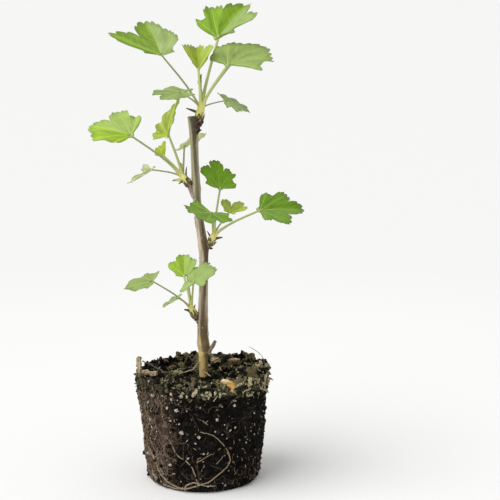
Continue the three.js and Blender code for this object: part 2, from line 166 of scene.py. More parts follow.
class Leaf(NamedTuple):
    """Stalk (length, heading, rise), blade (length, heading, rise), and how the blade is held and coloured.

    Pairs are for the left and the right half. Grow, base and open are the reach of the side lobes, and the
    reach and spread of the base lobes. Cut tells how deep the four notches are, from left to right, point
    how pointed the lobes are, and teeth how long the teeth are. Pale and sheen is a painted sheen, the pale
    reflection laid on each half, and light, from -1 to 1, is painted light and shade over the whole leaf.
    """

    stalk: tuple
    blade: tuple
    roll: float = 0
    fold: tuple = (12, 12)
    droop: float = 0.15
    grow: tuple = (1, 1)
    spread: tuple = (1, 1)
    base: tuple = (1, 1)
    open: tuple = (1, 1)
    cut: tuple = (0.3, 0.4, 0.4, 0.3)
    point: float = 0.42
    teeth: float = 1
    tint: str = "fresh"
    bloom: tuple = (0.2, 0.2)
    # Painted shade: how far the stalk takes the shaded stalk colour, which also thins it
    stalk_shade: float = 0.5  # how dark and grey the stalk is
    light: float = 0
    pleat: float = 0.045  # how high the blade swells between its main veins, as a share of its reach


def leaf_bud(stalk, blade, **look):
    """A young leaf that is still folded, at the tip of a shoot."""
    return Leaf(
        stalk, blade, fold=(76, 76), droop=0, grow=(0.8, 0.8), spread=(0.7, 0.7), base=(0.8, 0.8),
        cut=(0, 0.2, 0.2, 0), point=0.8, teeth=0.8, tint="young", stalk_shade=0, light=0.8)._replace(**look)


class Bract(NamedTuple):
    """A bud scale or spine at the foot of a shoot."""

    heading: float
    rise: float
    length: float
    width: float


class Shoot(NamedTuple):
    """A woody spur from root to tip, and the green shoot from there to its crown, with its leaves.

    Scaly is how far along the spur its smooth bark ends and dark scales begin.
    """

    root: tuple
    tip: tuple
    radius: tuple
    scaly: float
    crown: tuple
    stem: tuple
    leaves: tuple
    bracts: tuple
    buds: tuple

    def places(self):
        return Vector(self.root), Vector(self.tip), Vector(self.crown)


TOP_SHOOT = Shoot(
    (-3.6, 0, 219), (-1.3, 0, 228), (2.3, 2.5), 0.1, (-0.3, 0, 234.2), (2.9, 2.4),
    (
        Leaf((40, 166, 52), (30, 108, 36), 48, (34, -28), -0.2, (1.26, 0.72), (1.05, 0.97), (0.5, 0.65),
             (0.3, 1.05), (0, 0.75, 0.3, 0.1), 0.9, 0.8, "fresh", (0.1, 0.8), 0.95, 0.0, 0.055),
        Leaf((44, 43, 71), (38.5, 54, 38.5), 0, (28, 8), 0.12, (0.86, 0.84), (0.88, 0.88), (1.05, 0.6),
             (0.8, 0.45), (0.45, 0.6, 0.5, 0), 0.9, 1, "fresh", (0, 0.7), 0.25, 0.25, 0.07),
        Leaf((32, 334, 55), (32.5, 40, 32), -8, (23, 6), 0.3, (0.8, 0.95), (1, 1), (1, 1.3),
             (1, 0.65), (0, 0.2, 0.35, 0.1), 0.7, 0.9, "soft", (0.25, 0.3), 0.35, 0.3),
        Leaf((24, 260, 75), (19, 97, 50), 2, (42, 46), 0.12, (1.2, 1.1), (0.9, 1.08), (0.5, 0.8),
             (0.3, 0.3), (0, 0.35, 0.5, 0), 0.6, 0.9, "young", (0.05, 0.1), 0.1, -0.25),
        Leaf((21, 231, 30), (17.6, 184, 0), -10, (-20, 20), 0.08, (1.12, 1.12), (1.1, 1), (0.9, 1),
             (1.7, 1.6), (0.3, 0.8, 0.2, 0.3), 0.35, 0.7, "soft", (0.4, 0.4), 0.9, 0.1),
        Leaf((16, 345, 17), (18, 18, -21), -12, (5, -8), 0.08, (1.1, 0.75), (1, 1), (1.2, 1.1),
             (1, 1), (0.3, 0.5, 0.6, 0.3), 0.42, 1, "soft", (1, 1), 0.95, 0.9),
        Leaf((36, 46, 44), (15, 50, 12), cut=(0.45, 0.45, 0.45, 0.45), stalk_shade=0.4),
        leaf_bud((10, 70, 84), (11, 80, 82), roll=5, cut=(0.2, 0.2, 0.2, 0.2), point=0.42, teeth=1,
                 bloom=(0, 0), light=0),
    ),
    (Bract(175, 20, 9, 1.8),),
    ((-0.6, -1.2, 224.4, 345, 35, 3), (-1.6, -1, 220.4, 340, 10, 2), (-3, -1.4, 222.4, 260, 40, 2.6)),
)
LEFT_SHOOT = Shoot(
    (-4.6, -0.4, 180), (-8.8, -0.8, 188.6), (2.4, 1.7), 0.72, (-11.5, -1, 192.1), (2.7, 2.2),
    (
        Leaf((41, 189, 39), (31.5, 156, 14), 40, (26, 5), 0.2, (0.88, 0.92), (0.92, 0.92), (0.95, 1.02),
             (0.85, 0.9), (0.1, 0.35, 0.6, 0.45), 0.6, 0.8, "bright", (0.05, 0.6), 0.75, 0.1),
        Leaf((27, 151, 68), (29, 88, 48), 62, (24, 15), 0.2, (0.84, 0.9), (0.8, 0.8), (1.34, 1),
             (0.95, 0.8), (0.15, 0, 0, 0), 1, 0.1, "young", (0, 0.05), 0.5, -0.25, 0.005),
        Leaf((21, 200, 14), (18, 194, -36), -3, (7, 45), -0.12, (0.7, 0.35), (1.2, 0.5), (1.15, 1.75),
             (0.93, 2.5), (0, 0, 0, 0), 0.9, 0.15, "faint", (0, 0), 0.75, -0.25, 0.01),
        Leaf((23, 89, 44), (17, 20, 36), 3, (5, 7), 0.1, (0.85, 1.05), (1.2, 1.2), (1.1, 0.4),
             (1, 0.5), (0, 0.1, 0.1, 0), 0.42, 0.5, "faint", (0, 0), 0.6, 0.9, 0.01),
        Leaf((17, 182, 48), (10.5, 84, 62), 20, (30, 50), 0, (0.8, 0.55), (0.9, 1), (1.3, 0.8),
             (1, 0.5), (0.1, 0.45, 0.2, 0.2), 0.9, 0.4, "young", (0, 0), 0.2, 0.6),
        leaf_bud((4, 130, 70), (5, 140, 72), bloom=(0, 0)),
    ),
    (Bract(178, -5, 8, 2.4), Bract(60, 80, 8, 1.2), Bract(200, -30, 5, 1.6)),
    ((-7.6, -1.4, 186.6, 215, -25, 2.4), (-6.4, -1.4, 187.6, 300, 20, 1.8)),
)
RIGHT_SHOOT = Shoot(
    (1.2, 0, 146), (5.2, 0, 150.4), (2.7, 1.6), 0.75, (7, 0, 155.4), (2.6, 2),
    (
        Leaf((29, 25, 81), (23.5, 104, 52), -6, (20, 4), 0.15, (0.9, 0.8), (0.85, 0.85), (0.88, 1.08),
             (0.96, 0.95), (0.15, 0.7, 0.6, 0.4), 0.35, 0.6, "deep", (0, 0), 0.6, 0.95, 0.06),
        Leaf((33, 352, 29), (29.5, 11, 4), -45, (-15, 8), 0.15, (1.02, 0.8), (0.84, 0.84), (1.12, 0.72),
             (0.76, 0.8), (0.35, 0.65, 0.6, 0.5), 0.5, 0.8, "deep", (0, 0.25), 0.6, 0.3, 0.06),
        Leaf((23, 267, 46), (19.5, 260, -13), 6, (-8, 12), -0.1, (0.97, 1.0), (1.1, 1.1), (1, 1.25),
             (1, 1.12), (0.2, 0.6, 0.3, 0.2), 0.3, 0.9, "deep", (0.1, 0.2), 0.6, 0.5),
        Leaf((18, 40, 45), (12.5, 40, 25), -15, (12, 14), 0.04, (1.15, 1.1), (1.5, 1.05), (0.5, 0.7),
             (0.5, 0.8), (0.3, 1.1, 0.7, 0.2), 0.6, 1, "young", (0.25, 0.1), 0.6, 0.4),
        Leaf((38, 76, 57), (12, 80, 12), 6, point=0.6, tint="deep"),
        leaf_bud((4, 60, 75), (5, 50, 72)),
    ),
    (Bract(350, 12, 7, 2), Bract(170, 60, 6, 1.2)),
    ((4.2, -0.9, 147.6, 345, -20, 2.8), (4.2, -1.2, 149, 300, 20, 1.6)),
)
LOW_SHOOT = Shoot(
    (-1.6, -0.4, 99.5), (-4.9, -0.7, 104.6), (2.3, 1.7), 0.45, (-6.9, -1, 109.3), (2.5, 2),
    (
        Leaf((30, 187, 36), (21, 164, -16), 12, (-4, 8), 0, (0.7, 0.82), (1.05, 1.05), (1.08, 1.3),
             (1, 1.0), (0.35, 0.2, 0.05, 0.5), 0.9, 0.35, "soft", (0.4, 0.4), 0.85, 0.4, 0.01),
        Leaf((20, 132, 70), (21, 94, 40), 10, (20, 20), 0.14, (0.76, 0.78), (1.05, 0.85), (0.62, 0.75),
             (0.8, 0.9), (0.2, 0.5, 0.4, 0.3), 0.9, 0.8, "bright", (0.2, 0.7), 0.2, 0.5, 0.07),
        Leaf((26, 277, 49), (17, 54, 44), 8, (-10, 0), 0.08, (0.92, 1.12), (1, 1), (1.32, 0.9),
             (1.5, 1), (1.5, 0.3, 0.5, 0.2), 0.35, 0.9, "fresh", (0.75, 0.75), 0.4, 0.5, 0.06),
        Leaf((12, 212, 38), (12, 192, -30), -7, (7, 5), 0, (0.95, 0.95), (1.25, 1.25), (0.3, 1),
             (1, 1), (0, 0, 0, 0), 0.42, 0.4, "pale", (0.9, 0.9), 0.6, 1, 0.01),
        Leaf((28.6, 101, 44), (12.5, 95, 5), -5, bloom=(0.3, 0.3)),
        leaf_bud((4, 120, 70), (5, 110, 74)),
    ),
    (Bract(185, 15, 6, 2), Bract(20, 75, 5, 1.2)),
    ((-3.4, -1.2, 102, 215, -20, 2.2), (-2.6, -1.2, 101, 240, -50, 1.8)),
)
SHOOTS = {"top": TOP_SHOOT, "left": LEFT_SHOOT, "right": RIGHT_SHOOT, "low": LOW_SHOOT}

# Bud scales round a shoot's foot: height above the spur's tip, number, and radius as a share of the stem's
SCALE_RINGS = ((-2, 6, 0.98), (-0.4, 8, 1.0), (1.2, 7, 0.97))
# A resting bud, as share of its length and thickness there, and a bract with its sag as well
BUD_SHAPE = ((0, 0.9), (0.3, 1.1), (0.55, 1.0), (0.8, 0.6), (1, 0.14))
BRACT_SHAPE = ((0, 1, 0), (0.35, 0.95, 0.15), (0.7, 0.7, 0.2), (1, 0.3, 0))
PALE_BRACT = 2.2  # bracts wider than this are pale
SCALE_GRID = (8, 5)  # rows and columns of points

# ---------------------------------------------------------------- the root ball
BALL = {
    "height": 65,
    "top_radius": 42,
    "low_radius": 36,
    "foot_radius": 33,
    "mean_radius": 39,
    "edge": 5,  # height of the rounded edge at the foot
    "rim": 3,
    "right_rim": 3,  # how much higher the rim is on the right
    "foot_levels": (0, 0.6, 1.4),
    "first_level": 2.2,
    "sides": 440,
    "levels": 104,
    "shares": 60,
}
RIM_FOOT = 61  # crumbs above this height have the tones of the soil
RIM_TOP = 66
CLEAR_OF_CANE = 5  # how far loose things keep from the cane's middle
DARK_LEFT = -20  # crumbs further to the left are darker
# Tones that crumbs are drawn from, by their order in build_crumbs
LEFT_TONES = (0, 0, 0, 1, 1, 2, 4)
TOP_TONES = (0, 0, 1, 1, 2, 3, 4, 4, 4, 5)
ROOTED_TONES = (2, 2, 3)
PLAIN_TONES = (0, 0, 1)
# Hollows in the soil: place, radius and depth
HOLLOWS = (
    (10, 0, 12, 8), (25, 6, 9, 3), (-30, -16, 9, 4), (-24, 12, 9, 3), (2, 18, 9, 2.5), (-8, -22, 8, 2.5),
    (-12, 12, 7, 3), (20, -14, 8, 3),
)

# Roots that show on the ball's front, as places along its face, and their thickness at both ends
ROOTS = (
    ((0.3, 0.5), ((0, 40.5), (7, 38), (13, 32), (16.5, 25.5), (16.5, 18), (11, 12.5), (4, 7.5), (-1, 6))),
    ((0.55, 0.5), ((-1, 6), (-7.5, 3.5), (-16.5, 1.8), (-24.5, 3), (-32, 5.5), (-34, 9))),
    ((0.35, 0.5), ((-22, 35), (-17.5, 30), (-15, 25), (-9, 21), (-5.5, 16), (-3.5, 9.5), (-1.5, 6))),
    ((0.6, 0.5), ((-34, 26), (-30.5, 19.5), (-27.5, 11.5), (-20, 4.5), (-9.5, 2))),
    ((0.4, 0.4), ((-34, 13), (-33.5, 7), (-29, 5), (-24.5, 2.5))),
    ((0.25, 0.2), ((9, 19), (13.5, 24))),
    ((0.3, 0.2), ((-3, 20), (4, 24.5), (8.5, 26))),
    ((0.3, 0.2), ((21, 10), (23, 14))),
    ((0.65, 0.6), ((-10.5, 1.5), (-9.5, 5), (-5, 7), (-1.5, 6))),
    ((0.35, 0.3), ((-1, 5.5), (4, 5), (8.5, 5))),
    ((0.4, 0.25), ((1, 47.5), (4, 45))),
    ((0.25, 0.2), ((-33, 46), (-30, 38), (-28, 33))),
)

# Bark chips and stones on the soil: middle, size, turn about the upright and lean in degrees, and kind
CHIPS = (
    ((-39.8, -3, 71), (2.6, 4, 12), 10, -4, "pale_chip"),
    ((-40.4, -1, 74.5), (2, 3, 6), 30, 10, "bark_chip"),
    ((-35.6, -7, 69.2), (4.6, 3.5, 2.8), 12, 10, "pale_chip"),
    ((-30.8, -8, 68.8), (4.6, 3.5, 2.6), -8, 0, "pale_chip"),
    ((15, -33, 70.4), (5.6, 4, 2.4), -5, 10, "cream_chip"),
    ((18.2, -36.4, 68.6), (4.6, 3, 4.6), -20, 35, "orange_chip"),
    ((-3.5, -41, 65.8), (1.8, 2, 5.4), 0, 30, "pale_chip"),
    ((7.6, 25, 68.6), (5, 4, 2.6), 35, 12, "pale_chip"),
    ((19.3, 24, 68.6), (7, 4, 2.6), -10, -5, "pale_chip"),
    ((20, 22, 67.6), (9, 5, 3), 35, 12, "bark_chip"),
    ((31, -18, 70.5), (3, 5, 6), 30, -20, "bark_chip"),
    ((-26, 24, 68), (7, 4, 2.5), 120, 8, "bark_chip"),
    ((-20, 8, 68.4), (6, 3, 2), 60, 5, "bark_chip"),
    ((36, 2, 71.5), (2, 3, 5), 10, 15, "pale_chip"),
    ((39, -12, 67), (1.8, 3, 5), 0, 10, "pale_chip"),
    ((29, -29, 68), (4, 2.5, 3), 40, -20, "pale_chip"),
    ((-10, 36, 67), (6, 4, 3), 20, 10, "pale_chip"),
    ((26, 33, 67), (5, 3, 3), 70, 0, "bark_chip"),
)

# Clods that stand up from the soil: place, and radius of each
CLODS = (
    ((-16.8, 32, 68.4), 3.4),
    ((-12.5, 34, 67), 3),
    ((-22, 28, 66.6), 3.6),
    ((-7, 35.5, 69), 3),
    ((25, 31, 69.2), 3.4),
    ((30, 25, 69.4), 3.6),
    ((20, 34, 68), 2.8),
    ((9, 34, 66.6), 3.2),
    ((38, 8, 71), 2.8),
    ((38, -8, 70.4), 3),
    ((34, -17, 69.6), 3.4),
    ((27, -27, 68.6), 3.2),
    ((4, -36.5, 67.4), 3.4),
    ((-9, -37, 66.6), 3),
    ((-20, -33, 66.4), 3.2),
    ((-28, 22, 67), 3.4),
    ((-36, 14, 67.6), 2.8),
    ((-9, 4, 67.6), 2.8),
    ((15, 12, 67.6), 2.6),
)

CLOD_CRUMBS = 16  # crumbs on each of them

# A brown clod in the ball's front: place along its face, and radius
SIDE_CLOD = ((-21.3, 43.2), 2.9)

# The larger white grains on the front of the ball: place along its face, and radius
GRAINS = (
    ((-30.5, 60), 1.6), ((-32.5, 55), 0.8), ((-12, 63), 1.3), ((-8.5, 63.5), 0.8), ((-18, 60.5), 1),
    ((-21, 54), 1), ((-15, 54), 1.4), ((-8.5, 54), 0.6), ((-31, 44), 0.9), ((-18.5, 46.5), 0.7),
    ((9.5, 48.5), 1), ((12.5, 56.5), 0.5), ((19.5, 56.5), 0.9), ((31.5, 48), 0.6), ((-0.5, 56), 0.6),
    ((-12, 39.5), 1.6), ((-1.5, 37), 1.1), ((-3.5, 33), 0.8), ((1.5, 26), 0.9), ((-8, 23), 0.9),
    ((-18.5, 17.5), 1), ((-20.5, 29.5), 0.5), ((4, 5), 0.7), ((15, 4), 0.8), ((-13, 7), 0.5),
    ((-14, 44.5), 0.7), ((-27, 37.5), 0.6), ((8.5, 40.5), 0.7), ((14, 44.5), 0.6), ((16, 35), 0.7),
    ((18, 40), 0.7), ((21, 41.5), 0.8), ((13, 38), 0.5), ((27, 30), 0.6), ((-24, 10), 0.6),
)

# Thin roots and twigs that lie over the soil: x, y, z and radius along each
OVER_SOIL = {
    "pale_root": (
        (-1.8, -2, 75, 0.35), (-4.6, -3, 72.4, 0.4), (-6.2, -5, 70.6, 0.4), (-9.6, -5, 69.6, 0.38),
        (-15, -8, 68.6, 0.3),
    ),
    "front_root": ((0.5, -2.6, 68.2, 0.4), (2.6, -6, 68.4, 0.4), (5, -12, 68, 0.3)),
    "left_twig": (
        (-38.6, 4, 74, 0.4), (-33, 2, 71.6, 0.4), (-27, -2, 69.8, 0.42), (-24, -7, 69.6, 0.4),
        (-19, -6, 69.4, 0.3),
    ),
    "hair": ((29, -6, 85.9, 0.16), (34, -5, 82.4, 0.18), (38, -4, 77.5, 0.2), (39.5, -4, 71, 0.24)),
    "back_root": ((2, 4, 70, 0.4), (4, 12, 68.5, 0.4), (-2, 22, 68.2, 0.3)),
}
DARK_ROOTS = ("left_twig", "hair")
FIBRE_STEP = 1.2  # length of one straight bit of a fine root

# The fresh green tuft of moss on the soil: place, and number of strands
TUFT = (-16.5, -4, 68.4)
TUFT_STRANDS = 34
STRAND_STEPS = 6  # straight bits of a strand


# ---------------------------------------------------------------- small tools
def linear(red, green, blue):
    """A colour told as on a screen, from 0 to 255, as Blender's shaders take it."""
    return tuple(
        share / 12.92 if share <= 0.04045 else ((share + 0.055) / 1.055) ** 2.4
        for share in (red / 255, green / 255, blue / 255)
    )


def mix(low, high, share):
    """The value at that share of the way from low to high."""
    return low + (high - low) * share


def clamp(value, low=0.0, high=1.0):
    return max(low, min(high, value))


def smoothstep(value, low, high):
    """0 below low and 1 above high, with a soft step between."""
    share = clamp((value - low) / (high - low))
    return share * share * (3 - 2 * share)


def direction(heading, rise):
    """The way of that heading and rise, in degrees."""
    level = cos(radians(rise))
    turn = radians(heading)
    return Vector((level * cos(turn), level * sin(turn), sin(radians(rise))))


def up(height):
    """That far straight up."""
    return Vector((0, 0, height))


def aside(out):
    """The level way at right angles to out."""
    return Vector((-out.y, out.x, 0))


def around(angle, radius=1.0, z=0.0):
    """The point at that angle, in radians, and distance round the upright axis."""
    return Vector((radius * cos(angle), radius * sin(angle), z))


def grain(point, size, seed=0):
    """Smooth noise from -1 to 1 whose lumps are about size wide."""
    return noise.noise(Vector(point) / size + Vector((seed * 17.3, seed * 5.1, seed * 9.7)))


def curve(before, start, end, after, t):
    """The value at share t of a smooth curve from start to end, with its neighbours on both sides."""
    bend = 2 * before - 5 * start + 4 * end - after
    twist = 3 * start - before - 3 * end + after
    return 0.5 * (2 * start + (end - before) * t + bend * t**2 + twist * t**3)


def smooth_line(rows, steps):
    """Rows of any length joined by a smooth curve, with steps from one row to the next."""
    ends = (rows[0], *rows, rows[-1])
    line = []
    for before, start, end, after in zip(ends, ends[1:], ends[2:], ends[3:]):
        for step in range(steps):
            t = step / steps
            line.append(tuple(curve(*values, t) for values in zip(before, start, end, after)))
    line.append(tuple(rows[-1]))
    return line


def rows_at(rows, key):
    """The values of a table at key, between its rows, whose first column rises."""
    for low, high in zip(rows, rows[1:]):
        if key <= high[0]:
            break
    share = clamp((key - low[0]) / (high[0] - low[0]))
    return tuple(mix(a, b, share) for a, b in zip(low[1:], high[1:]))


def ring_faces(rings, sides):
    """Faces of a closed body whose points come ring by ring, and then the middles of its two ends."""
    faces = []
    foot = rings * sides
    last = foot - sides
    for first in range(0, last, sides):
        for side in range(sides):
            after = first + (side + 1) % sides
            faces.append((first + side, after, after + sides, first + side + sides))
    for side in range(sides):
        after = (side + 1) % sides
        faces.append((foot, after, side))
        faces.append((foot + 1, last + side, last + after))
    return faces


def tube(line, sides, relief=None, flat=1.0):
    """Points and faces of a closed tube along line, whose rows are x, y, z and radius.

    Flat below 1 squeezes the tube sideways. Relief adds to the radius at (point, angle, share).
    """
    middles = [Vector(row[:3]) for row in line]
    points = []
    first = (middles[1] - middles[0]).normalized()
    across = Vector((0, 1, 0)) if abs(first.y) < 0.9 else Vector((1, 0, 0))
    for order, row in enumerate(line):
        ahead = middles[min(order + 1, len(line) - 1)]
        behind = middles[max(order - 1, 0)]
        along = (ahead - behind).normalized()
        across = (across - along * across.dot(along)).normalized()
        other = along.cross(across)
        for side in range(sides):
            angle = tau * side / sides
            out = across * cos(angle) * flat + other * sin(angle)
            radius = row[3]
            if relief:
                radius += relief(middles[order] + out * radius, angle, order / (len(line) - 1))
            points.append(middles[order] + out * radius)
    points.extend((middles[0], middles[-1]))
    return points, ring_faces(len(line), sides)


def rough_skin(height, size, seed=0):
    """Relief of a tube, in lumps of that height and size."""
    return lambda point, angle, share: height * grain(point, size, seed)


def shell(top, bottom, faces, rim):
    """A closed sheet from its two sides, which share faces, sewn together along the loop rim."""
    count = len(top)
    sewn = list(faces)
    sewn.extend(tuple(count + corner for corner in reversed(face)) for face in faces)
    for here, after in zip(rim, rim[1:] + rim[:1]):
        sewn.append((after, here, count + here, count + after))
    return top + bottom, sewn


def sheet(top, bottom, columns, flip=False):
    """A closed sheet from the points of its two sides, row by row. Flip turns its faces over."""
    count = len(top)
    faces = [
        (first, first + 1, first + columns + 1, first + columns)
        for first in range(count - columns) if (first + 1) % columns
    ]
    rim = [*range(columns), *range(2 * columns - 1, count, columns)]
    rim += [*range(count - 2, count - columns - 1, -1), *range(count - 2 * columns, 0, -columns)]
    if flip:
        faces = [(face[0], *face[:0:-1]) for face in faces]
        rim = [rim[0], *rim[:0:-1]]
    return shell(top, bottom, faces, rim)


def ball_template(level):
    """Points and faces of a small round lump to be pressed out of shape."""
    mesh = bmesh.new()
    bmesh.ops.create_icosphere(mesh, subdivisions=level, radius=1)
    points = [vertex.co.copy() for vertex in mesh.verts]
    faces = [tuple(vertex.index for vertex in face.verts) for face in mesh.faces]
    mesh.free()
    return points, faces


LUMPS = {level: ball_template(level) for level in (1, 2, 3, 4)}


def lump(place, size, turn, level=2, rough=0.25):
    """An irregular round body: its middle, half sizes, and how it is turned."""
    template, faces = LUMPS[level]
    spin = turn.to_matrix()
    points = []
    for point in template:
        bulge = 1 + rough * grain(point + Vector(place), 0.8)
        points.append(Vector(place) + spin @ Vector(c * s * bulge for c, s in zip(point, size)))
    return points, faces


def drawn_lump(rng, place, size, least, most, level=2, rough=0.5):
    """A lump turned at random, whose half sizes are drawn between least and most times its size."""
    half = [size * rng.uniform(least, most) for _ in range(3)]
    turn = Euler([rng.uniform(0, tau) for _ in range(3)])
    return lump(place, half, turn, level, rough)


class Stock:
    """Faces in millimetres, gathered for one joined piece."""

    def __init__(self):
        self.points = []
        self.faces = []
        self.slots = []
        self.marks = {}

    def add(self, shape, slot=0, **marks):
        """Adds (points, faces). Slot is a number or one for each face. Marks have a value for each point."""
        points, faces = shape
        first = len(self.points)
        self.points.extend(points)
        self.faces.extend(tuple(first + corner for corner in face) for face in faces)
        self.slots.extend([slot] * len(faces) if isinstance(slot, int) else slot)
        for name, values in marks.items():
            self.marks.setdefault(name, []).extend(values)

    def piece(self, name, finishes, replaces=(), sharp=50):
        """Makes the object, riding on the plant's body. Sharp is the angle from which an edge shows."""
        mesh = bpy.data.meshes.new(name)
        mesh.from_pydata([tuple(Vector(point) * MM) for point in self.points], [], self.faces)
        if mesh.validate():
            raise RuntimeError(f"{name} has faces that aren't sound")
        for finish in finishes:
            mesh.materials.append(finish.material)
        mesh.polygons.foreach_set("material_index", self.slots)
        mesh.shade_smooth()
        mesh.set_sharp_from_angle(angle=radians(sharp))
        for mark, values in self.marks.items():
            layer = mesh.attributes.new(mark, "FLOAT_VECTOR", "POINT")
            layer.data.foreach_set("vector", [number for value in values for number in value])
        made = bpy.data.objects.new(name, mesh)
        bpy.context.scene.collection.objects.link(made)
        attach(made, BODY)
        if replaces:
            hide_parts(*replaces)


# ---------------------------------------------------------------- finishes
class Signal:
    """A socket in a finish. Sums written with it add Math nodes."""

    def __init__(self, finish, socket):
        self.finish = finish
        self.socket = socket

    def __add__(self, other):
        return self.finish.maths("ADD", self, other)

    def __radd__(self, other):
        return self.finish.maths("ADD", other, self)

    def __sub__(self, other):
        return self.finish.maths("SUBTRACT", self, other)

    def __rsub__(self, other):
        return self.finish.maths("SUBTRACT", other, self)

    def __mul__(self, other):
        return self.finish.maths("MULTIPLY", self, other)

    def __rmul__(self, other):
        return self.finish.maths("MULTIPLY", other, self)

    def __truediv__(self, other):
        return self.finish.maths("DIVIDE", self, other)

    def __pow__(self, other):
        return self.finish.maths("POWER", self, other)

    def __abs__(self):
        return self.finish.maths("ABSOLUTE", self)


class Finish:
    """A material whose nodes are added by expressions."""

    def __init__(self, name, **plain):
        self.material = bpy.data.materials.new(name)
        self.material.use_nodes = True
        self.tree = self.material.node_tree
        self.shader = next(node for node in self.tree.nodes if node.type == "BSDF_PRINCIPLED")
        for socket, value in plain.items():
            self.shader.inputs[socket.replace("_", " ")].default_value = value

    def node(self, kind, settings=None, inputs=None, output=0):
        """Adds a shader node of that kind: its settings first, then the values or links of its sockets."""
        node = self.tree.nodes.new(f"ShaderNode{kind}")
        for name, value in (settings or {}).items():
            setattr(node, name, value)
        for key, value in (inputs or {}).items():
            if isinstance(value, Signal):
                self.tree.links.new(value.socket, node.inputs[key])
            elif node.inputs[key].type == "RGBA":
                node.inputs[key].default_value = (*value, 1)
            else:
                node.inputs[key].default_value = value
        return Signal(self, node.outputs[output])

    def maths(self, operation, *values):
        return self.node("Math", {"operation": operation}, dict(enumerate(values)))

    def mark(self, name):
        """The three numbers that a mesh holds under that name."""
        return self.parts(self.node("Attribute", {"attribute_name": name}, output=1))

    def parts(self, vector):
        split = self.node("SeparateXYZ", inputs={0: vector})
        return tuple(Signal(self, socket) for socket in split.socket.node.outputs)

    def place(self, stretch=(1, 1, 1)):
        """Where a point lies on the plant, stretched along its axes."""
        here = self.node("TexCoord", output=3)
        return self.node("VectorMath", {"operation": "MULTIPLY"}, {0: here, 1: stretch})

    def noise(self, vector, scale, detail=3.0, roughness=0.55):
        inputs = {"Vector": vector, "Scale": scale, "Detail": detail, "Roughness": roughness}
        return self.node("TexNoise", inputs=inputs)

    def cells(self, vector, scale):
        return self.node("TexVoronoi", inputs={"Vector": vector, "Scale": scale})

    def step(self, value, low, high, start=0.0, end=1.0):
        """Start below low and end above high, with a soft step between."""
        inputs = {0: value, 1: low, 2: high, 3: start, 4: end}
        return self.node("MapRange", {"interpolation_type": "SMOOTHSTEP"}, inputs)

    def blend(self, share, first, second):
        """A colour that share of the way from the first to the second."""
        return self.node("Mix", {"data_type": "RGBA"}, {0: share, 6: first, 7: second}, output=2)

    def shades(self, value, low, high, colour, dark, light):
        """One colour times dark where value is low, and times light where it is high."""
        return self.blend(self.step(value, low, high), scaled(colour, dark), scaled(colour, light))

    def wear(self, **signals):
        """Links what changes over the surface to the shader."""
        for socket, signal in signals.items():
            self.tree.links.new(signal.socket, self.shader.inputs[socket.replace("_", " ")])
        return self

    def relief(self, height, depth):
        """Bumps the surface by height, whose full range stands for depth millimetres."""
        inputs = {"Strength": 1.0, "Distance": depth * MM, "Height": height}
        return self.wear(Normal=self.node("Bump", inputs=inputs))


def colour_property(name, description, red, green, blue):
    """A colour that a user may change, told as on a screen."""
    colour = linear(red, green, blue)
    return FloatVectorProperty(
        name=name, description=description, default=colour, size=3, min=0, max=1, subtype="COLOR")


def length_property(name, description, default, low, high):
    """A length that a user may change, in metres."""
    return FloatProperty(
        name=name, description=description, default=default, min=low, max=high, unit="LENGTH")


def count_property(name, description, default, most):
    """A number of things, from none to most."""
    return IntProperty(name=name, description=description, default=default, min=0, max=most)


def scaled(colour, factor):
    return tuple(clamp(share * factor) for share in colour)


# ---------------------------------------------------------------- settings
class GooseberryLeafSettings(bpy.types.PropertyGroup):
    """Sizes and colours of the leaves, stalks and bud scales."""

    thickness: length_property(
        "Blade Thickness", "Thickness of a blade beside its middle vein", 0.00042, 0.0002, 0.001)
    rib: length_property("Rib Height", "How far the main veins stand out below", 0.00028, 0, 0.001)
    stalk: length_property(
        "Stalk Radius", "Radius of a large leaf's stalk where it meets the blade", 0.00074, 0.0003, 0.002)
    young: colour_property("Young Green", "Yellow-green of leaves that still unfold", 168, 188, 64)
    bright: colour_property("Bright Green", "Light green of young leaves", 152, 186, 36)
    fresh: colour_property("Fresh Green", "Mid green of the upper leaves", 120, 156, 30)
    soft: colour_property("Soft Green", "Dull green of leaves that hang", 126, 148, 66)
    deep: colour_property("Deep Green", "Dark green of full-grown leaves", 98, 138, 16)
    # Pale and faint are partly painted light: they lift leaves that lie in shade, and faint is the glow of
    # thin leaves seen against the light
    pale: colour_property("Pale Green", "Pale green of shaded leaves", 168, 184, 112)
    faint: colour_property("Faint Green", "Palest green of thin leaves against the light", 206, 212, 156)
    # Colour of the painted sheen on the blades, and of their paler undersides
    bloom: colour_property("Bloom", "Waxy sheen on the blades", 166, 184, 124)
    vein: colour_property("Vein", "Colour of the veins", 188, 208, 120)
    sheath: colour_property("Sheath", "Pale yellow foot of the stalks", 228, 224, 128)
    stalk_green: colour_property("Stalk Green", "Colour of a stalk in the light", 204, 212, 140)
    stalk_dusk: colour_property("Stalk Dusk", "Colour of a stalk in the shade", 126, 132, 92)
    scale: colour_property("Bud Scale", "Brown of the dry bud scales", 118, 92, 70)


class GooseberryBarkSettings(bpy.types.PropertyGroup):
    """Sizes and colours of the cane, spurs and stub."""

    ridge: length_property("Ridge Height", "Height of the ridges along the bark", 0.00022, 0, 0.001)
    pores: count_property("Pores", "Breathing pores on the bark", 110, 400)
    flakes: count_property("Flakes", "Peeling strips on the bark", 16, 100)
    light: colour_property("Light Bark", "Grey-tan of the cane", 204, 186, 164)
    # Dark Bark is also the tone of the painted shade on the cane's side away from the lamp
    dark: colour_property("Dark Bark", "Dark stripe along the cane", 84, 64, 40)
    olive: colour_property("Olive Bark", "Green cast towards the tip", 172, 172, 132)
    foot: colour_property("Foot Bark", "Yellowish bark by the soil", 216, 186, 118)
    knot: colour_property("Knot", "Dark brown bark of the spurs", 84, 62, 50)
    dead: colour_property("Dead Wood", "Dry wood of the stub", 140, 126, 106)


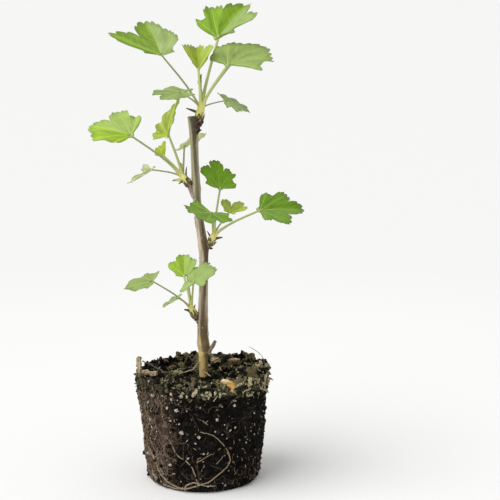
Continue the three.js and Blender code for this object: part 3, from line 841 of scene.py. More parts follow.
class GooseberryBallSettings(bpy.types.PropertyGroup):
    """Counts and colours of the root ball."""

    crumbs: count_property("Crumbs", "Crumbs on the ball's side", 1700, 5000)
    top_crumbs: count_property("Soil Crumbs", "Crumbs on the soil", 700, 3000)
    clods: count_property("Clods", "Small clods on the soil", 75, 400)
    chips: count_property("Chips", "Small bark chips on the soil", 80, 400)
    fibres: count_property("Fibres", "Fine roots on the ball's side", 1350, 4000)
    flecks: count_property("Flecks", "Short pale flecks in the side", 260, 2000)
    grains: count_property("Grains", "White grains on the whole ball", 130, 1000)
    strands: count_property("Moss Strands", "Strands of moss on the soil", 1150, 4000)
    soil: colour_property("Compost", "Dark moist compost", 25, 23, 20)
    earth: colour_property("Rooted Compost", "Brown compost bound by roots", 122, 102, 86)
    moss: colour_property("Moss", "Olive moss on the soil", 138, 134, 96)
    root: colour_property("Root", "Pale tan of the roots", 152, 135, 112)
    grain: colour_property("Grain", "White volcanic grains", 198, 192, 178)
    chip: colour_property("Chip", "Tan of the bark chips", 150, 122, 88)


class GooseberryStageSettings(bpy.types.PropertyGroup):
    """Camera and light."""

    lens: FloatProperty(
        name="Lens", description="Focal length", default=106.1, min=20, max=300, unit="CAMERA")
    pitch: FloatProperty(
        name="Pitch", description="How far the camera looks down",
        default=radians(10.637), subtype="ANGLE")
    key: FloatProperty(name="Key", description="Strength of the soft lamp on the left", default=2.0, min=0)
    key_width: FloatProperty(
        name="Key Width", description="How wide the lamp looks from the plant",
        default=radians(60), subtype="ANGLE")
    sky: FloatProperty(name="Sky", description="Strength of the white surroundings", default=0.64, min=0)
    floor: colour_property("Floor", "Pale floor", 244, 244, 243)


LEAF, BARK, BALL_LOOK, STAGE = "gooseberry_leaf", "gooseberry_bark", "gooseberry_ball", "gooseberry_stage"


# ---------------------------------------------------------------- finishes of the plant
def blade_finish(name, tint, settings, under=False):
    """Blade green with its net of veins, darker margin, painted sheen on each half and painted light and
    shade.
    """
    finish = Finish(name, Specular_IOR_Level=0.25)
    x, y, reach = finish.mark("leaf_place")
    shade, bloom, _ = finish.mark("leaf_look")
    here = finish.place()
    sway = (finish.noise(here, 260, 2) - 0.5) * 0.05
    radius = (x * x + y * y) ** 0.5
    turn = finish.maths("ARCTAN2", x, y) / radians(SIDE_VEIN)
    off_vein = (turn - finish.maths("ROUND", turn)) * radians(SIDE_VEIN)
    aside = radius * abs(finish.maths("SINE", off_vein))
    along = radius * finish.maths("COSINE", off_vein)
    ribs = finish.step(aside + radius * 0.008 + abs(sway) * 0.2, 0.004, 0.02, 1, 0)
    chevron = finish.maths("PINGPONG", along - aside * BRANCH_SLANT + sway, BRANCH_SPACING / 2)
    branches = finish.step(chevron, 0.0, 0.012, 1, 0) * finish.step(reach, 0.7, 1.0, 1, 0)
    patches = finish.noise(here, 150, 3)
    fan = finish.node("CombineXYZ", inputs={0: turn * 2, 1: radius * 1.2, 2: shade * 5})
    rays = finish.noise(fan, 2.2, 3)
    cells = finish.cells(here, 1500)
    light = (patches - 0.5) * 1.2 + (rays - 0.5) * 2.4 + finish.step(reach, 0.2, 0.8, -0.35, 0.25)
    # Shade is each leaf's painted light and shade
    light = light + shade + finish.step(aside, 0.0, 0.1, 0.55, -0.25)
    light = light + finish.step(chevron, 0, 0.04, 0.12, -0.06)
    colour = finish.shades(light, -1.2, 1.2, tint, 0.62, 1.36)
    # Painted sheen: a pale reflection laid on each half of the blade
    colour = finish.blend(bloom * finish.step(patches, 0.3, 0.7, 0.6, 1), colour, settings.bloom)
    margin = finish.step(reach, 0.84, 1.0, 0, 0.5)
    colour = finish.blend(margin, colour, tuple(0.45 * share + 0.045 for share in tint))
    veins = finish.maths("MAXIMUM", ribs * 0.6, branches * 0.2)
    colour = finish.blend(veins, colour, settings.vein)
    if under:
        colour = finish.blend(0.35, colour, settings.bloom)
    sunk = -1.0 if not under else 1.0
    height = (ribs + branches * 0.6) * sunk + finish.step(cells, 0.0, 0.8, 0.25, 0)
    rough = 0.44 + patches * 0.16
    return finish.wear(Base_Color=colour, Roughness=rough).relief(height, 0.14)


def stalk_finish(settings):
    """Stalks from pale yellow sheaths to the green below the blade, which takes painted shade on shaded
    stalks.
    """
    finish = Finish("stalk_skin", Specular_IOR_Level=0.4)
    along, stalk_shade, _ = finish.mark("stalk_look")
    streaks = finish.noise(finish.place((1, 1, 0.15)), 1400, 2)
    # Painted shade: stalks in shadow take the darker, greyer stalk colour
    green = finish.blend(stalk_shade, settings.stalk_green, settings.stalk_dusk)
    colour = finish.blend(finish.step(along, 0.1, 0.5), settings.sheath, green)
    colour = finish.blend((streaks - 0.4) * 0.7, colour, scaled(settings.sheath, 0.75))
    return finish.wear(Base_Color=colour, Roughness=0.38 + streaks * 0.2).relief(streaks, 0.08)


def bark_finish(settings):
    """Grey-tan bark with a dark side that is partly painted shade, fine streaks and an olive cast towards the
    tip.
    """
    finish = Finish("cane_bark", Specular_IOR_Level=0.3)
    dark, olive, foot = finish.mark("bark_look")
    streaks = finish.noise(finish.place((1, 1, 0.06)), 800, 4, 0.65)
    specks = finish.noise(finish.place((1, 1, 0.5)), 2600, 2)
    colour = finish.blend(olive, settings.light, settings.olive)
    colour = finish.blend(foot, colour, settings.foot)
    stripe = finish.blend(olive * 0.8, settings.dark, scaled(settings.olive, 0.2))
    stripe = finish.blend(foot, stripe, scaled(settings.foot, 0.22))
    colour = finish.blend(finish.step(streaks, 0.4, 0.55, 0.4, 0), colour, stripe)
    # Partly painted shade: the dark side, with streaks along its edge
    shade = dark + (streaks - 0.5) * 0.8
    colour = finish.blend(finish.step(shade, 0.05, 0.95), colour, stripe)
    colour = finish.blend(finish.step(specks, 0.6, 0.75, 0, 0.4), colour, scaled(settings.light, 1.1))
    height = streaks + specks * 0.3
    return finish.wear(Base_Color=colour, Roughness=0.55 + streaks * 0.3).relief(height, 0.18)


def woody_finish(name, colour, variety=0.5, depth=0.25, stretch=(1, 1, 0.3)):
    """Dry brown wood or bark in streaks of lighter and darker."""
    finish = Finish(name, Specular_IOR_Level=0.2)
    streaks = finish.noise(finish.place(stretch), 900, 4, 0.7)
    tone = finish.shades(streaks, 0.3, 0.7, colour, 1 - variety, 1 + variety)
    return finish.wear(Base_Color=tone, Roughness=0.6 + streaks * 0.35).relief(streaks, depth)


def knot_finish(settings):
    """Spur bark, from the cane's tan at its root to dark scaly brown at its tip, with grey painted highlights.
    """
    finish = Finish("knot_bark", Specular_IOR_Level=0.2)
    scaly, _, _ = finish.mark("knot_look")
    lumps = finish.noise(finish.place(), 700, 4, 0.7)
    streaks = finish.noise(finish.place((1, 1, 0.25)), 900, 3)
    root = finish.shades(streaks, 0.35, 0.65, settings.light, 0.4, 0.85)
    tip = finish.shades(lumps, 0.4, 0.6, settings.knot, 0.3, 1.1)
    # Painted highlights: grey on the tops of the lumps
    tip = finish.blend(finish.step(lumps, 0.58, 0.64, 0, 0.7), tip, scaled(settings.light, 0.6))
    colour = finish.blend(finish.step(scaly + (lumps - 0.5) * 0.6, 0.4, 0.6), root, tip)
    return finish.wear(Base_Color=colour, Roughness=0.65 + streaks * 0.3).relief(lumps, 0.35)


def scale_finish(settings):
    """Papery bud scales, from brown at the foot to pale green or tan at the tip."""
    finish = Finish("bud_scale", Specular_IOR_Level=0.3)
    along, pale, _ = finish.mark("scale_look")
    streaks = finish.noise(finish.place(), 1500, 3)
    dry = finish.shades(streaks, 0.35, 0.7, settings.scale, 0.45, 1)
    fresh = finish.blend(finish.step(along, 0.6, 1.0), settings.stalk_green, scaled(settings.scale, 0.6))
    colour = finish.blend(pale, dry, fresh)
    return finish.wear(Base_Color=colour, Roughness=0.6 + streaks * 0.3).relief(streaks, 0.12)


def compost_finish(settings):
    """Black compost, browner where roots bind it, olive where moss grows, with painted shade in its hollows.
    """
    finish = Finish("compost", Specular_IOR_Level=0.06)
    rooted, mossy, wet_and_cavity_shade = finish.mark("soil_look")
    here = finish.place()
    crumbs = finish.noise(here, 520, 5, 0.7)
    threads = finish.noise(finish.place((1, 1, 0.22)), 800, 4, 0.75)
    colour = finish.shades(crumbs, 0.42, 0.62, settings.soil, 0.3, 1.5)
    colour = finish.blend(finish.step(crumbs, 0.62, 0.7, 0, 0.8), colour, scaled(settings.earth, 0.6))
    brown = finish.shades(threads, 0.42, 0.6, settings.earth, 0.1, 0.95)
    brown = finish.blend(finish.step(threads, 0.6, 0.7, 0, 0.8), brown, scaled(settings.root, 0.9))
    colour = finish.blend(rooted, colour, brown)
    green = finish.shades(crumbs, 0.4, 0.65, settings.moss, 0.15, 1)
    colour = finish.blend(mossy * finish.step(threads, 0.4, 0.55, 0.2, 1), colour, green)
    # Painted shade darkens the hollows between crumbs; they are also glossier, as moist compost
    colour = finish.blend(finish.step(wet_and_cavity_shade, 0.45, 0.9, 0, 0.8), colour, scaled(settings.soil, 0.2))
    rough = 0.95 - wet_and_cavity_shade * 0.35
    height = crumbs + threads * 0.6
    return finish.wear(Base_Color=colour, Roughness=rough).relief(height, 0.9)


def crumb_finish(name, colour, rough=0.92):
    """One tone of compost crumbs."""
    finish = Finish(name, Specular_IOR_Level=0.06)
    pits = finish.noise(finish.place(), 1300, 4, 0.7)
    tone = finish.shades(pits, 0.4, 0.65, colour, 0.4, 1.3)
    return finish.wear(Base_Color=tone, Roughness=rough - 0.2 * pits).relief(pits, 0.3)


# ---------------------------------------------------------------- the cane
def bark_streak(turn, z, number, length, seed):
    """Noise drawn out along the bark. Number grows with the streaks round the cane."""
    return grain(turn * number + up(z / length), 1, seed)


def hump(distance, width):
    """1 in the middle of a rounded hump, falling to nothing on both sides."""
    return exp(-((distance / width) ** 2))


def bark_relief(point, angle, ridge):
    """Ridges along the bark, long cracks and the swollen rings at its buds."""
    turn = around(angle)
    z = point.z
    ridges = bark_streak(turn, z, 3, 26, 1) + 0.6 * bark_streak(turn, z, 8, 14, 2)
    crack = smoothstep(bark_streak(turn, z, 2.4, 34, 3), 0.28, 0.42)
    tilt = 0.8 * sin(3 * angle)
    rings = sum(height * hump(z - middle + tilt, RING_WIDTH) for middle, height in BARK_RINGS)
    middle, width, depth = GROOVE
    groove = depth * hump(z - middle + 0.5 * sin(2 * angle + 1), width)
    return ridge * (ridges - 1.3 * crack) + rings - groove


def build_cane(settings):
    """The cane with its ridged bark, from its cut foot to its cut tip."""
    ridge = settings.ridge / MM
    line = [(x, 0, z, radius) for z, x, radius in smooth_line(CANE, CANE_STEPS)]
    stock = Stock()
    points, faces = tube(line, CANE_SIDES, lambda point, angle, share: bark_relief(point, angle, ridge))
    looks = []
    for point in points:
        z = point.z
        heading, half, strength = rows_at(DARK_SIDE_AND_SHADE, z)
        turn = Vector((point.x - rows_at(CANE, z)[0], point.y, 0))
        turn = turn.normalized() if turn.length > 1e-6 else Vector()  # none at the middle of a cut
        streak = 0.22 * bark_streak(turn, z, 2.2, 30, 5) + 0.14 * bark_streak(turn, z, 5, 12, 15)
        # The dark side is partly the bark's own dark stripe and partly painted shade on the side away from the
        # lamp
        edge = cos(radians(half))
        dark = strength * smoothstep(direction(heading, 0).dot(turn) + streak, edge - 0.3, edge + 0.35)
        # Painted shade on the back of the cane, away from the lamp
        back = 0.45 * smoothstep(turn.y + streak, 0.2, 1)
        cut = z > CANE[-1][0] - CUT_EDGE
        olive = 0.75 * smoothstep(z, *OLIVE_TIP) + 0.25 * grain((0, 0, z), 18, 6)
        olive += 0.2 * smoothstep(z, *OLIVE_RISE) * (1 - smoothstep(z, *OLIVE_FALL))
        foot = 1 - 0.4 * smoothstep(z + 2 * grain(turn, 1, 4), *YELLOW_FOOT) - 0.6 * smoothstep(z, *YELLOW_END)
        looks.append((CUT_TONE if cut else max(dark, back), clamp(olive), foot))
    stock.add((points, faces), bark_look=looks)
    stock.piece("cane_bark", [bark_finish(settings)], ["cane"], sharp=60)


def on_cane(z, heading, lift=0.0):
    """The point of the bark at that height and heading, and the way out from it."""
    x, radius = rows_at(CANE, z)
    out = direction(heading, 0)
    return Vector((x, 0, z)) + out * (radius + lift), out


def build_bark_details(settings):
    """Breathing pores, and strips of skin that peel from the bark."""
    rng = random.Random(11)
    pores = Stock()
    for _ in range(settings.pores):
        z = rng.uniform(*PORE_SPAN)
        heading = rng.uniform(0, 360)
        place, _ = on_cane(z, heading, -0.12)
        size = rng.uniform(0.28, 0.6)
        turn = Euler((0, 0, radians(heading)))
        pores.add(lump(place, (0.3, size * 0.55, size), turn, 2, 0.2))
    pores.piece("bark_pores", [woody_finish("bark_pore", scaled(settings.light, 0.8), 0.3, 0.1)])
    flakes = Stock()
    for order in range(settings.flakes):
        z = rng.uniform(*FLAKE_SPANS[order % 2])
        heading = rng.uniform(0, 360)
        length = rng.uniform(2, 5)
        width = rng.uniform(10, 22)
        top = []
        bottom = []
        rows, columns = FLAKE_GRID
        for row in range(rows):
            share = row / (rows - 1)
            narrow = sin(pi * (0.15 + 0.8 * share)) ** 0.6
            for column in range(columns):
                right = column / (columns - 1)
                across = (right - 0.5) * width * narrow
                lift = 0.05 + (0.25 * right**2 + 0.25 * share**3)
                spot, out = on_cane(z + length * (share - 0.5), heading + across + 4 * share, lift)
                top.append(spot)
                bottom.append(spot - out * 0.14)
        flakes.add(sheet(top, bottom, columns))
    flakes.piece("bark_flakes", [woody_finish("bark_flake", scaled(settings.light, 0.6), 0.5, 0.1)])


def build_stub(settings):
    """The dry forked stub, grooved and split at its end."""
    stock = Stock()
    for rows, sides, seed in ((STUB["arm"], 28, 1), (STUB["snag"], 20, 2)):

        def relief(point, angle, share, seed=seed):
            grooves = 0.22 * sin(7 * angle + 2 * seed) * grain(point, 3, 4)
            return 0.3 * grain(point, 1.6, seed) + grooves + 0.5 * share * sin(4 * angle + seed)

        stock.add(tube(smooth_line(rows, 12), sides, relief))
    finish = woody_finish("dead_wood", settings.dead, 0.55, 0.3, (1, 1, 0.4))
    stock.piece("stub_wood", [finish], ["dead_stub"])


# ---------------------------------------------------------------- spurs, buds and scales
def build_spurs(settings):
    """Knotty spurs, ringed where old scales fell, with their resting buds."""
    finish = knot_finish(settings)
    for order, (name, shoot) in enumerate(SHOOTS.items()):
        root, tip, crown = shoot.places()
        end = tip.lerp(crown, 0.25)
        low, high = shoot.radius
        rows = (
            (*root.lerp(tip, -0.25), low * 0.6),
            (*root, low * 0.85),
            (*root.lerp(tip, 0.5), (low + high) * 0.42),
            (*tip, high * 0.9),
            (*end, high * 0.75),
        )

        def relief(point, angle, share, order=order, smooth=shoot.scaly):
            rings = 0.25 * sin(share * 30 + 2 * sin(angle + order))
            knobs = 0.8 * max(0, grain(point, 1.8, order + 3)) + 0.35 * grain(point, 0.9, order + 8)
            return (rings + knobs) * smoothstep(share, smooth - 0.2, smooth + 0.2)

        stock = Stock()
        points, faces = tube(smooth_line(rows, 10), SPUR_SIDES, relief)
        ends = len(points) - 2
        along = [(index // SPUR_SIDES) * SPUR_SIDES / ends for index in range(ends)] + [0, 1]
        looks = [(0.5 + 2.5 * (share - shoot.scaly), 0, 0) for share in along]
        stock.add((points, faces), knot_look=looks)
        for x, y, z, heading, rise, length in shoot.buds:
            foot = Vector((x, y, z))
            line = [
                (*(foot + direction(heading, rise + 10 * share) * length * share), length * 0.26 * swell)
                for share, swell in BUD_SHAPE
            ]
            points, faces = tube(smooth_line(line, 4), 14, rough_skin(0.16, 0.7, 2))
            stock.add((points, faces), knot_look=[(1, 0, 0)] * len(points))
        stock.piece(f"{name}_knot", [finish], [f"{name}_spur"])


def pointed_scale(foot, way, out, length, width, curl, thickness=0.22):
    """A pointed scale that hugs the shoot, then leans out. Way runs along the shoot, and out leads away."""
    across = way.cross(out).normalized()
    rows, columns = SCALE_GRID
    top = []
    bottom = []
    for row in range(rows):
        share = row / (rows - 1)
        half = width / 2 * (sin(pi * (0.3 + 0.7 * share)) ** 0.9 * (1 - share) ** 0.25 + 0.02)
        middle = foot + way * (length * share) + out * (curl * length * share**2)
        for column in range(columns):
            aside = 2 * column / (columns - 1) - 1
            spot = middle + across * (half * aside) - out * (0.45 * half * aside**2)
            top.append(spot)
            bottom.append(spot - out * thickness * (1.1 - share))
    along = [(index // columns) / (rows - 1) for index in range(rows * columns)]
    return (*sheet(top, bottom, columns, flip=True), along + along)


def build_scales(settings):
    """Bud scales round the foot of each shoot, and the spines beside them."""
    rng = random.Random(23)
    stock = Stock()
    for shoot in SHOOTS.values():
        root, tip, crown = shoot.places()
        way = (crown - tip).normalized()
        first = way.orthogonal().normalized()
        second = way.cross(first)
        for ring, (height, count, radius) in enumerate(SCALE_RINGS):
            for number in range(count):
                turn = tau * (number + 0.5 * ring + rng.uniform(-0.2, 0.2)) / count
                out = first * cos(turn) + second * sin(turn)
                axis = (tip - root).normalized() if height < 0 else way
                foot = tip + axis * height + out * shoot.stem[0] * radius
                length = rng.uniform(1.8, 3.2)
                lean = rng.uniform(0, 0.3) if ring < 2 else rng.uniform(0, 0.15)
                points, faces, along = pointed_scale(foot, axis, out, length, rng.uniform(1.4, 2.2), lean)
                pale = rng.random() ** 2 * (0.2 + 0.3 * ring)
                stock.add((points, faces), scale_look=[(share, pale, 0) for share in along])
        for bract in shoot.bracts:
            foot = tip.lerp(crown, 0.45)
            heading = direction(bract.heading, bract.rise)
            radius = bract.width / 2
            rows = [
                (*(foot + heading * bract.length * share + up(sag)), radius * swell)
                for share, swell, sag in BRACT_SHAPE
            ]
            points, faces = tube(smooth_line(rows, 5), 12, rough_skin(0.08, 0.8), 0.7)
            pale = 1.0 if bract.width > PALE_BRACT else 0.0
            looks = [(index / (len(points) - 2), pale, 0) for index in range(len(points))]
            stock.add((points, faces), scale_look=looks)
    stock.piece("bud_scales", [scale_finish(settings)])


# ---------------------------------------------------------------- leaves
def lobe_reach(leaf, order, share):
    """How far the blade's edge reaches at that share of the way across a lobe, told by its order."""
    lobe = LOBES[order]
    cuts = (0, *leaf.cut, 0)
    left, right = (mix(*notch, cut) for notch, cut in zip(lobe.notches, cuts[order:]))
    low = mix(left, right, share)
    swell = max(0.0, cos(pi / 2 * (2 * share - 1))) ** leaf.point
    inwards = min(share, 1 - share)
    part = (inwards * lobe.teeth) % 1
    tooth = max(0.0, sin(pi * part**TOOTH_LEAN)) ** TOOTH_ROUNDNESS
    return low + (lobe.reach - TOOTH - low) * swell + TOOTH * leaf.teeth * lobe.reach * tooth


def blade_outline(leaf):
    """Columns of a blade from one base lobe to the other: angle, reach, and how far behind the stalk."""
    outline = []
    for order, lobe in enumerate(LOBES):
        steps = TOOTH_STEPS * lobe.teeth
        for step in range(steps):
            share = step / steps
            outline.append((mix(lobe.start, lobe.end, share), lobe_reach(leaf, order, share), 0.0))
    for step in range(2 * NOTCH_STEPS):
        behind = step / NOTCH_STEPS
        side = 1 if behind <= 1 else -1
        share = behind if side == 1 else 2 - behind
        outline.append((side * LOBES[-1].end, mix(BASAL[0], BASE_NOTCH, share), share))
    return outline


def blade_point(leaf, angle, reach, behind, share, wave):
    """A point of the blade in its own axes: x to the right, y along the middle vein, z up."""
    side = 1 if angle > 0 else 0
    sideways = min(1, abs(angle) / SIDE_VEIN)
    basal = smoothstep(abs(angle), SIDE_VEIN, 2 * SIDE_VEIN)
    grown = mix(1, leaf.grow[side], sideways) * mix(1, leaf.base[side], basal)
    length = leaf.blade[0] * reach * share * grown
    past = max(0, abs(angle) - SIDE_VEIN)
    opened = (abs(angle) - past + past * leaf.open[side]) * leaf.spread[side]
    turned = radians(copysign(mix(opened, 180, behind), angle))
    flat = length * sin(turned)
    fold = radians(leaf.fold[side])
    folds = sin(pi * angle / SIDE_VEIN) ** 2 * (1 - behind)
    droop = leaf.droop * length**2 / leaf.blade[0]
    off_vein = radians(angle - SIDE_VEIN * round(angle / SIDE_VEIN))
    radius = reach * share
    off = radius * abs(sin(off_vein))
    chevron = (radius * cos(off_vein) - off * BRANCH_SLANT) / BRANCH_SPACING
    quilt = QUILT * leaf.blade[0] * abs(sin(pi * chevron)) * smoothstep(share, 0.1, 0.4)
    ruffle = RUFFLE * leaf.blade[0] * share**4 * sin(angle * wave[0] + wave[1])
    height = abs(flat) * sin(fold) + leaf.pleat * length * folds - droop + quilt + ruffle
    return Vector((flat * cos(fold), length * cos(turned), height))


def blade_axes(leaf):
    """The turn that takes a blade from its own axes to the plant's."""
    _, heading, rise = leaf.blade
    along = direction(heading, rise)
    turn = radians(heading)
    level = Vector((sin(turn), -cos(turn), 0))
    lift = level.cross(along)
    roll = radians(leaf.roll)
    across = level * cos(roll) + lift * sin(roll)
    return Matrix((across, along, across.cross(along))).transposed()


def stalk_joint(leaf, crown):
    """Where a leaf's stalk meets its blade."""
    length, heading, rise = leaf.stalk
    return crown + direction(heading, rise) * length


def blade_shape(leaf, crown, settings, rng):
    """The blade's points, faces and marks, with ribs below and a thin margin."""
    axes = blade_axes(leaf)
    joint = stalk_joint(leaf, crown)
    thickness = settings.thickness / MM
    rib = settings.rib / MM
    wave = (radians(rng.uniform(4, 7)) * 2.2, rng.uniform(0, 6))
    # Painted light and shade for the whole leaf; the looks below also carry the painted sheen of each half
    shade = leaf.light + rng.uniform(-0.1, 0.1)
    outline = blade_outline(leaf)
    count = len(outline)
    top = [joint.copy()]
    bottom = [joint - axes @ up(thickness + rib)]
    places = [(0.0, 0.0, 0.0)]
    looks = [(shade, mix(*leaf.bloom, 0.5), 0)]
    for ring in range(1, BLADE_RINGS + 1):
        share = (ring / BLADE_RINGS) ** 0.85
        for angle, reach, behind in outline:
            spot = blade_point(leaf, angle, reach, behind, share, wave)
            off_vein = radians(angle - SIDE_VEIN * round(angle / SIDE_VEIN))
            aside = leaf.blade[0] * reach * share * abs(sin(off_vein))
            ribbed = rib * (1 - smoothstep(aside, 0.15, 0.9)) * (1 - 0.8 * share) * (1 - behind)
            sheet = thickness * mix(1, 0.45, share**2)
            top.append(joint + axes @ (spot + up(sheet / 2 - 0.4 * ribbed)))
            bottom.append(joint + axes @ (spot - up(sheet / 2 + ribbed)))
            radius = reach * share
            turn = radians(mix(angle, copysign(180, angle), behind))
            places.append((radius * sin(turn), radius * cos(turn), share))
            right = smoothstep(angle, -8, 8)
            looks.append((shade, mix(*leaf.bloom, right), 0))
    faces = [(0, 1 + (column + 1) % count, 1 + column) for column in range(count)]
    for ring in range(BLADE_RINGS - 1):
        first = 1 + ring * count
        for column in range(count):
            after = (column + 1) % count
            faces.append((first + column, first + after, first + count + after, first + count + column))
    rim = [1 + (BLADE_RINGS - 1) * count + column for column in range(count)]
    points, sewn = shell(top, bottom, faces, rim[::-1])
    return points, sewn, places + places, looks + looks, len(faces)


def build_blades(settings):
    """The blades of each mass as one piece, each leaf in its own green."""
    tints = ("young", "bright", "fresh", "soft", "deep", "pale", "faint")
    finishes = []
    for tint in tints:
        colour = getattr(settings, tint)
        finishes.append(blade_finish(f"leaf_{tint}", colour, settings))
        finishes.append(blade_finish(f"leaf_{tint}_under", colour, settings, under=True))
    for seed, (name, shoot) in enumerate(SHOOTS.items()):
        rng = random.Random(40 + seed)
        stock = Stock()
        for leaf in shoot.leaves:
            points, faces, places, looks, upper = blade_shape(leaf, Vector(shoot.crown), settings, rng)
            slot = 2 * tints.index(leaf.tint)
            slots = [slot] * upper + [slot + 1] * upper + [slot] * (len(faces) - 2 * upper)
            stock.add((points, faces), slots, leaf_place=places, leaf_look=looks)
        stock.piece(f"{name}_blades", finishes, [f"{name}_leaves"], sharp=70)


def stalk_line(leaf, shoot, rng, radius):
    """A stalk's rows from its sheath at the shoot's foot, up past the crown and into its blade."""
    _, tip, crown = shoot.places()
    joint = stalk_joint(leaf, crown)
    length, heading, rise = leaf.stalk
    out = direction(heading, 0)
    middle = crown.lerp(joint, 0.5) + up(length * STALK_ARCH)
    early = crown.lerp(joint, 0.2) + up(length * STALK_ARCH * 0.7)
    foot = tip.lerp(crown, rng.uniform(0.15, 0.45)) + out * 0.9
    waist = crown + out * 0.75 + direction(heading, rise) * 0.6
    end = joint + direction(leaf.blade[1], leaf.blade[2]) * INTO_BLADE
    slim = radius * mix(0.5, 1, min(1, leaf.blade[0] / 30)) * mix(1.35, 0.7, leaf.stalk_shade)
    return (
        (*foot, slim * 2.4),
        (*waist, slim * 1.9),
        (*early, slim * 1.2),
        (*middle, slim),
        (*joint, slim * 0.9),
        (*end, slim * 0.5),
    )


def stem_relief(point, angle, share):
    """Edges along a shoot's stem, where stalks sheathe it."""
    return 0.3 * abs(sin(2.5 * angle + 2 * share)) - 0.2


def stalk_relief(point, angle, share):
    """The channel along a stalk's upper side."""
    return -0.12 * (1 - share) * max(0, cos(angle)) ** 4


def build_stalks(settings):
    """The green stem of each shoot, with the stalks that sheathe it, as one piece."""
    finish = stalk_finish(settings)
    for seed, (name, shoot) in enumerate(SHOOTS.items()):
        rng = random.Random(70 + seed)
        stock = Stock()
        _, tip, crown = shoot.places()
        end = crown + (crown - tip).normalized() * 3
        low, high = shoot.stem
        stem = ((*tip, low * 0.9), (*tip.lerp(crown, 0.5), low * 0.85), (*crown, high * 0.8), (*end, 0.7))
        rows = smooth_line(stem, 8)
        points, faces = tube(rows, STEM_SIDES, stem_relief)
        # The stem takes a little of the stalks' painted shade
        looks = [(0.4 * ((index // STEM_SIDES) / len(rows)) ** 2, 0.3, 0) for index in range(len(points))]
        stock.add((points, faces), stalk_look=looks)
        for leaf in shoot.leaves:
            rows = smooth_line(stalk_line(leaf, shoot, rng, settings.stalk / MM), 9)
            points, faces = tube(rows, STALK_SIDES, stalk_relief)
            looks = [((index // STALK_SIDES) / len(rows), leaf.stalk_shade, 0) for index in range(len(points) - 2)]
            looks += [(0.0, leaf.stalk_shade, 0), (1.0, leaf.stalk_shade, 0)]
            stock.add((points, faces), stalk_look=looks)
        stock.piece(f"{name}_stalks", [finish])


# ---------------------------------------------------------------- the root ball
def side_radius(angle, z):
    """Radius of the ball's worn side, rounded at its foot."""
    cone = mix(BALL["low_radius"], BALL["top_radius"], z / BALL["height"])
    worn = 0.5 * sin(3 * angle + z / 13) + 0.35 * sin(7 * angle - z / 6) - 0.6
    if z >= BALL["edge"]:
        return cone + worn
    round_edge = sqrt(1 - (1 - z / BALL["edge"]) ** 2)
    return mix(BALL["foot_radius"], cone + worn, round_edge)


def soil_height(angle, share):
    """Height of the soil at that share of the way from the middle to the rim."""
    rim = BALL["rim"] + BALL["right_rim"] * max(0, cos(angle))
    lumps = 0.7 * sin(5 * angle + 9 * share) + 0.5 * sin(11 * angle - 14 * share)
    return BALL["height"] + rim * share**3 + lumps * min(1, 2 * share)


def crumbly(point):
    """Relief of the compost, in rounded crumbs of three sizes."""
    near = noise.voronoi(Vector(point) / 3.4)[0][0]
    fine = noise.voronoi(Vector(point) / 1.6)[0][0]
    return 1.5 * (0.4 - near) + 0.8 * (0.4 - fine) + 0.9 * grain(point, 7, 3) + 0.3 * grain(point, 1.2, 4)


def side_point(angle, z, lift=0.0):
    """A point of the crumbly side, or lifted off it."""
    radius = side_radius(angle, z)
    relief = crumbly(around(angle, radius, z)) * smoothstep(z, 0, 3)
    return around(angle, radius + (relief + lift), z)


def soil_point(angle, share, lift=0.0):
    """A point of the crumbly soil with its hollows, or lifted off it."""
    place = around(angle, share * side_radius(angle, BALL["height"]), soil_height(angle, share))
    hollow = sum(
        depth * exp(-(((place.x - x) ** 2 + (place.y - y) ** 2) / (0.5 * radius) ** 2))
        for x, y, radius, depth in HOLLOWS)
    inner = 1 - smoothstep(share, 0.93, 1)
    crumbs = 1.3 * crumbly(place) + 1.6 * grain(place, 9, 9)
    place.z += crumbs * mix(0.5, 1, inner) - hollow * inner + lift
    return place


def facing_angle(x, z):
    """The angle round the ball at which its front face has that sideways place."""
    reach = side_radius(-pi / 2, z)
    return -acos(clamp(x / reach, -1, 1))


def rooted_share(point):
    """How brown and fibrous the compost is at a place: most on the left, in patches elsewhere."""
    heading = degrees(atan2(point.y, point.x))
    from_left = abs((heading - 200 + 180) % 360 - 180)
    patches = 0.3 * grain(point, 22, 7) + 0.25 * grain(point, 9, 8)
    left = 1 - smoothstep(from_left, 22, 60)
    back = 0.5 * smoothstep(point.y, 0, 20)
    return clamp(0.95 * left + back + patches - 0.2)


def build_ball(settings):
    """The block of rooted compost."""
    stock = Stock()
    sides, steps, shares = BALL["sides"], BALL["levels"], BALL["shares"]
    angles = [tau * side / sides for side in range(sides)]
    levels = [mix(BALL["first_level"], BALL["height"] - 1, step / steps) for step in range(steps + 1)]
    points = [side_point(angle, z) for z in (*BALL["foot_levels"], *levels) for angle in angles]
    points += [soil_point(angle, 1 - level / shares) for level in range(shares) for angle in angles]
    rings = len(points) // sides
    points += [up(0), up(BALL["height"])]
    looks = []
    for point in points:
        rim = mix(0.5, 1, smoothstep(point.xy.length, 28, 38))
        mossy = smoothstep(point.z, 59, 66) * (0.3 + 0.9 * grain(point, 6, 11)) * rim
        # High in the hollows between crumbs: painted shade there, and a moist gloss
        wet_and_cavity_shade = 0.45 - 0.45 * crumbly(point)
        side = 1 - smoothstep(point.z, 60, 66)
        looks.append((rooted_share(point) * mix(0.25, 1, side), clamp(mossy), clamp(wet_and_cavity_shade)))
    stock.add((points, ring_faces(rings, sides)), soil_look=looks)
    stock.piece("compost_block", [compost_finish(settings)], ["root_ball"], sharp=80)


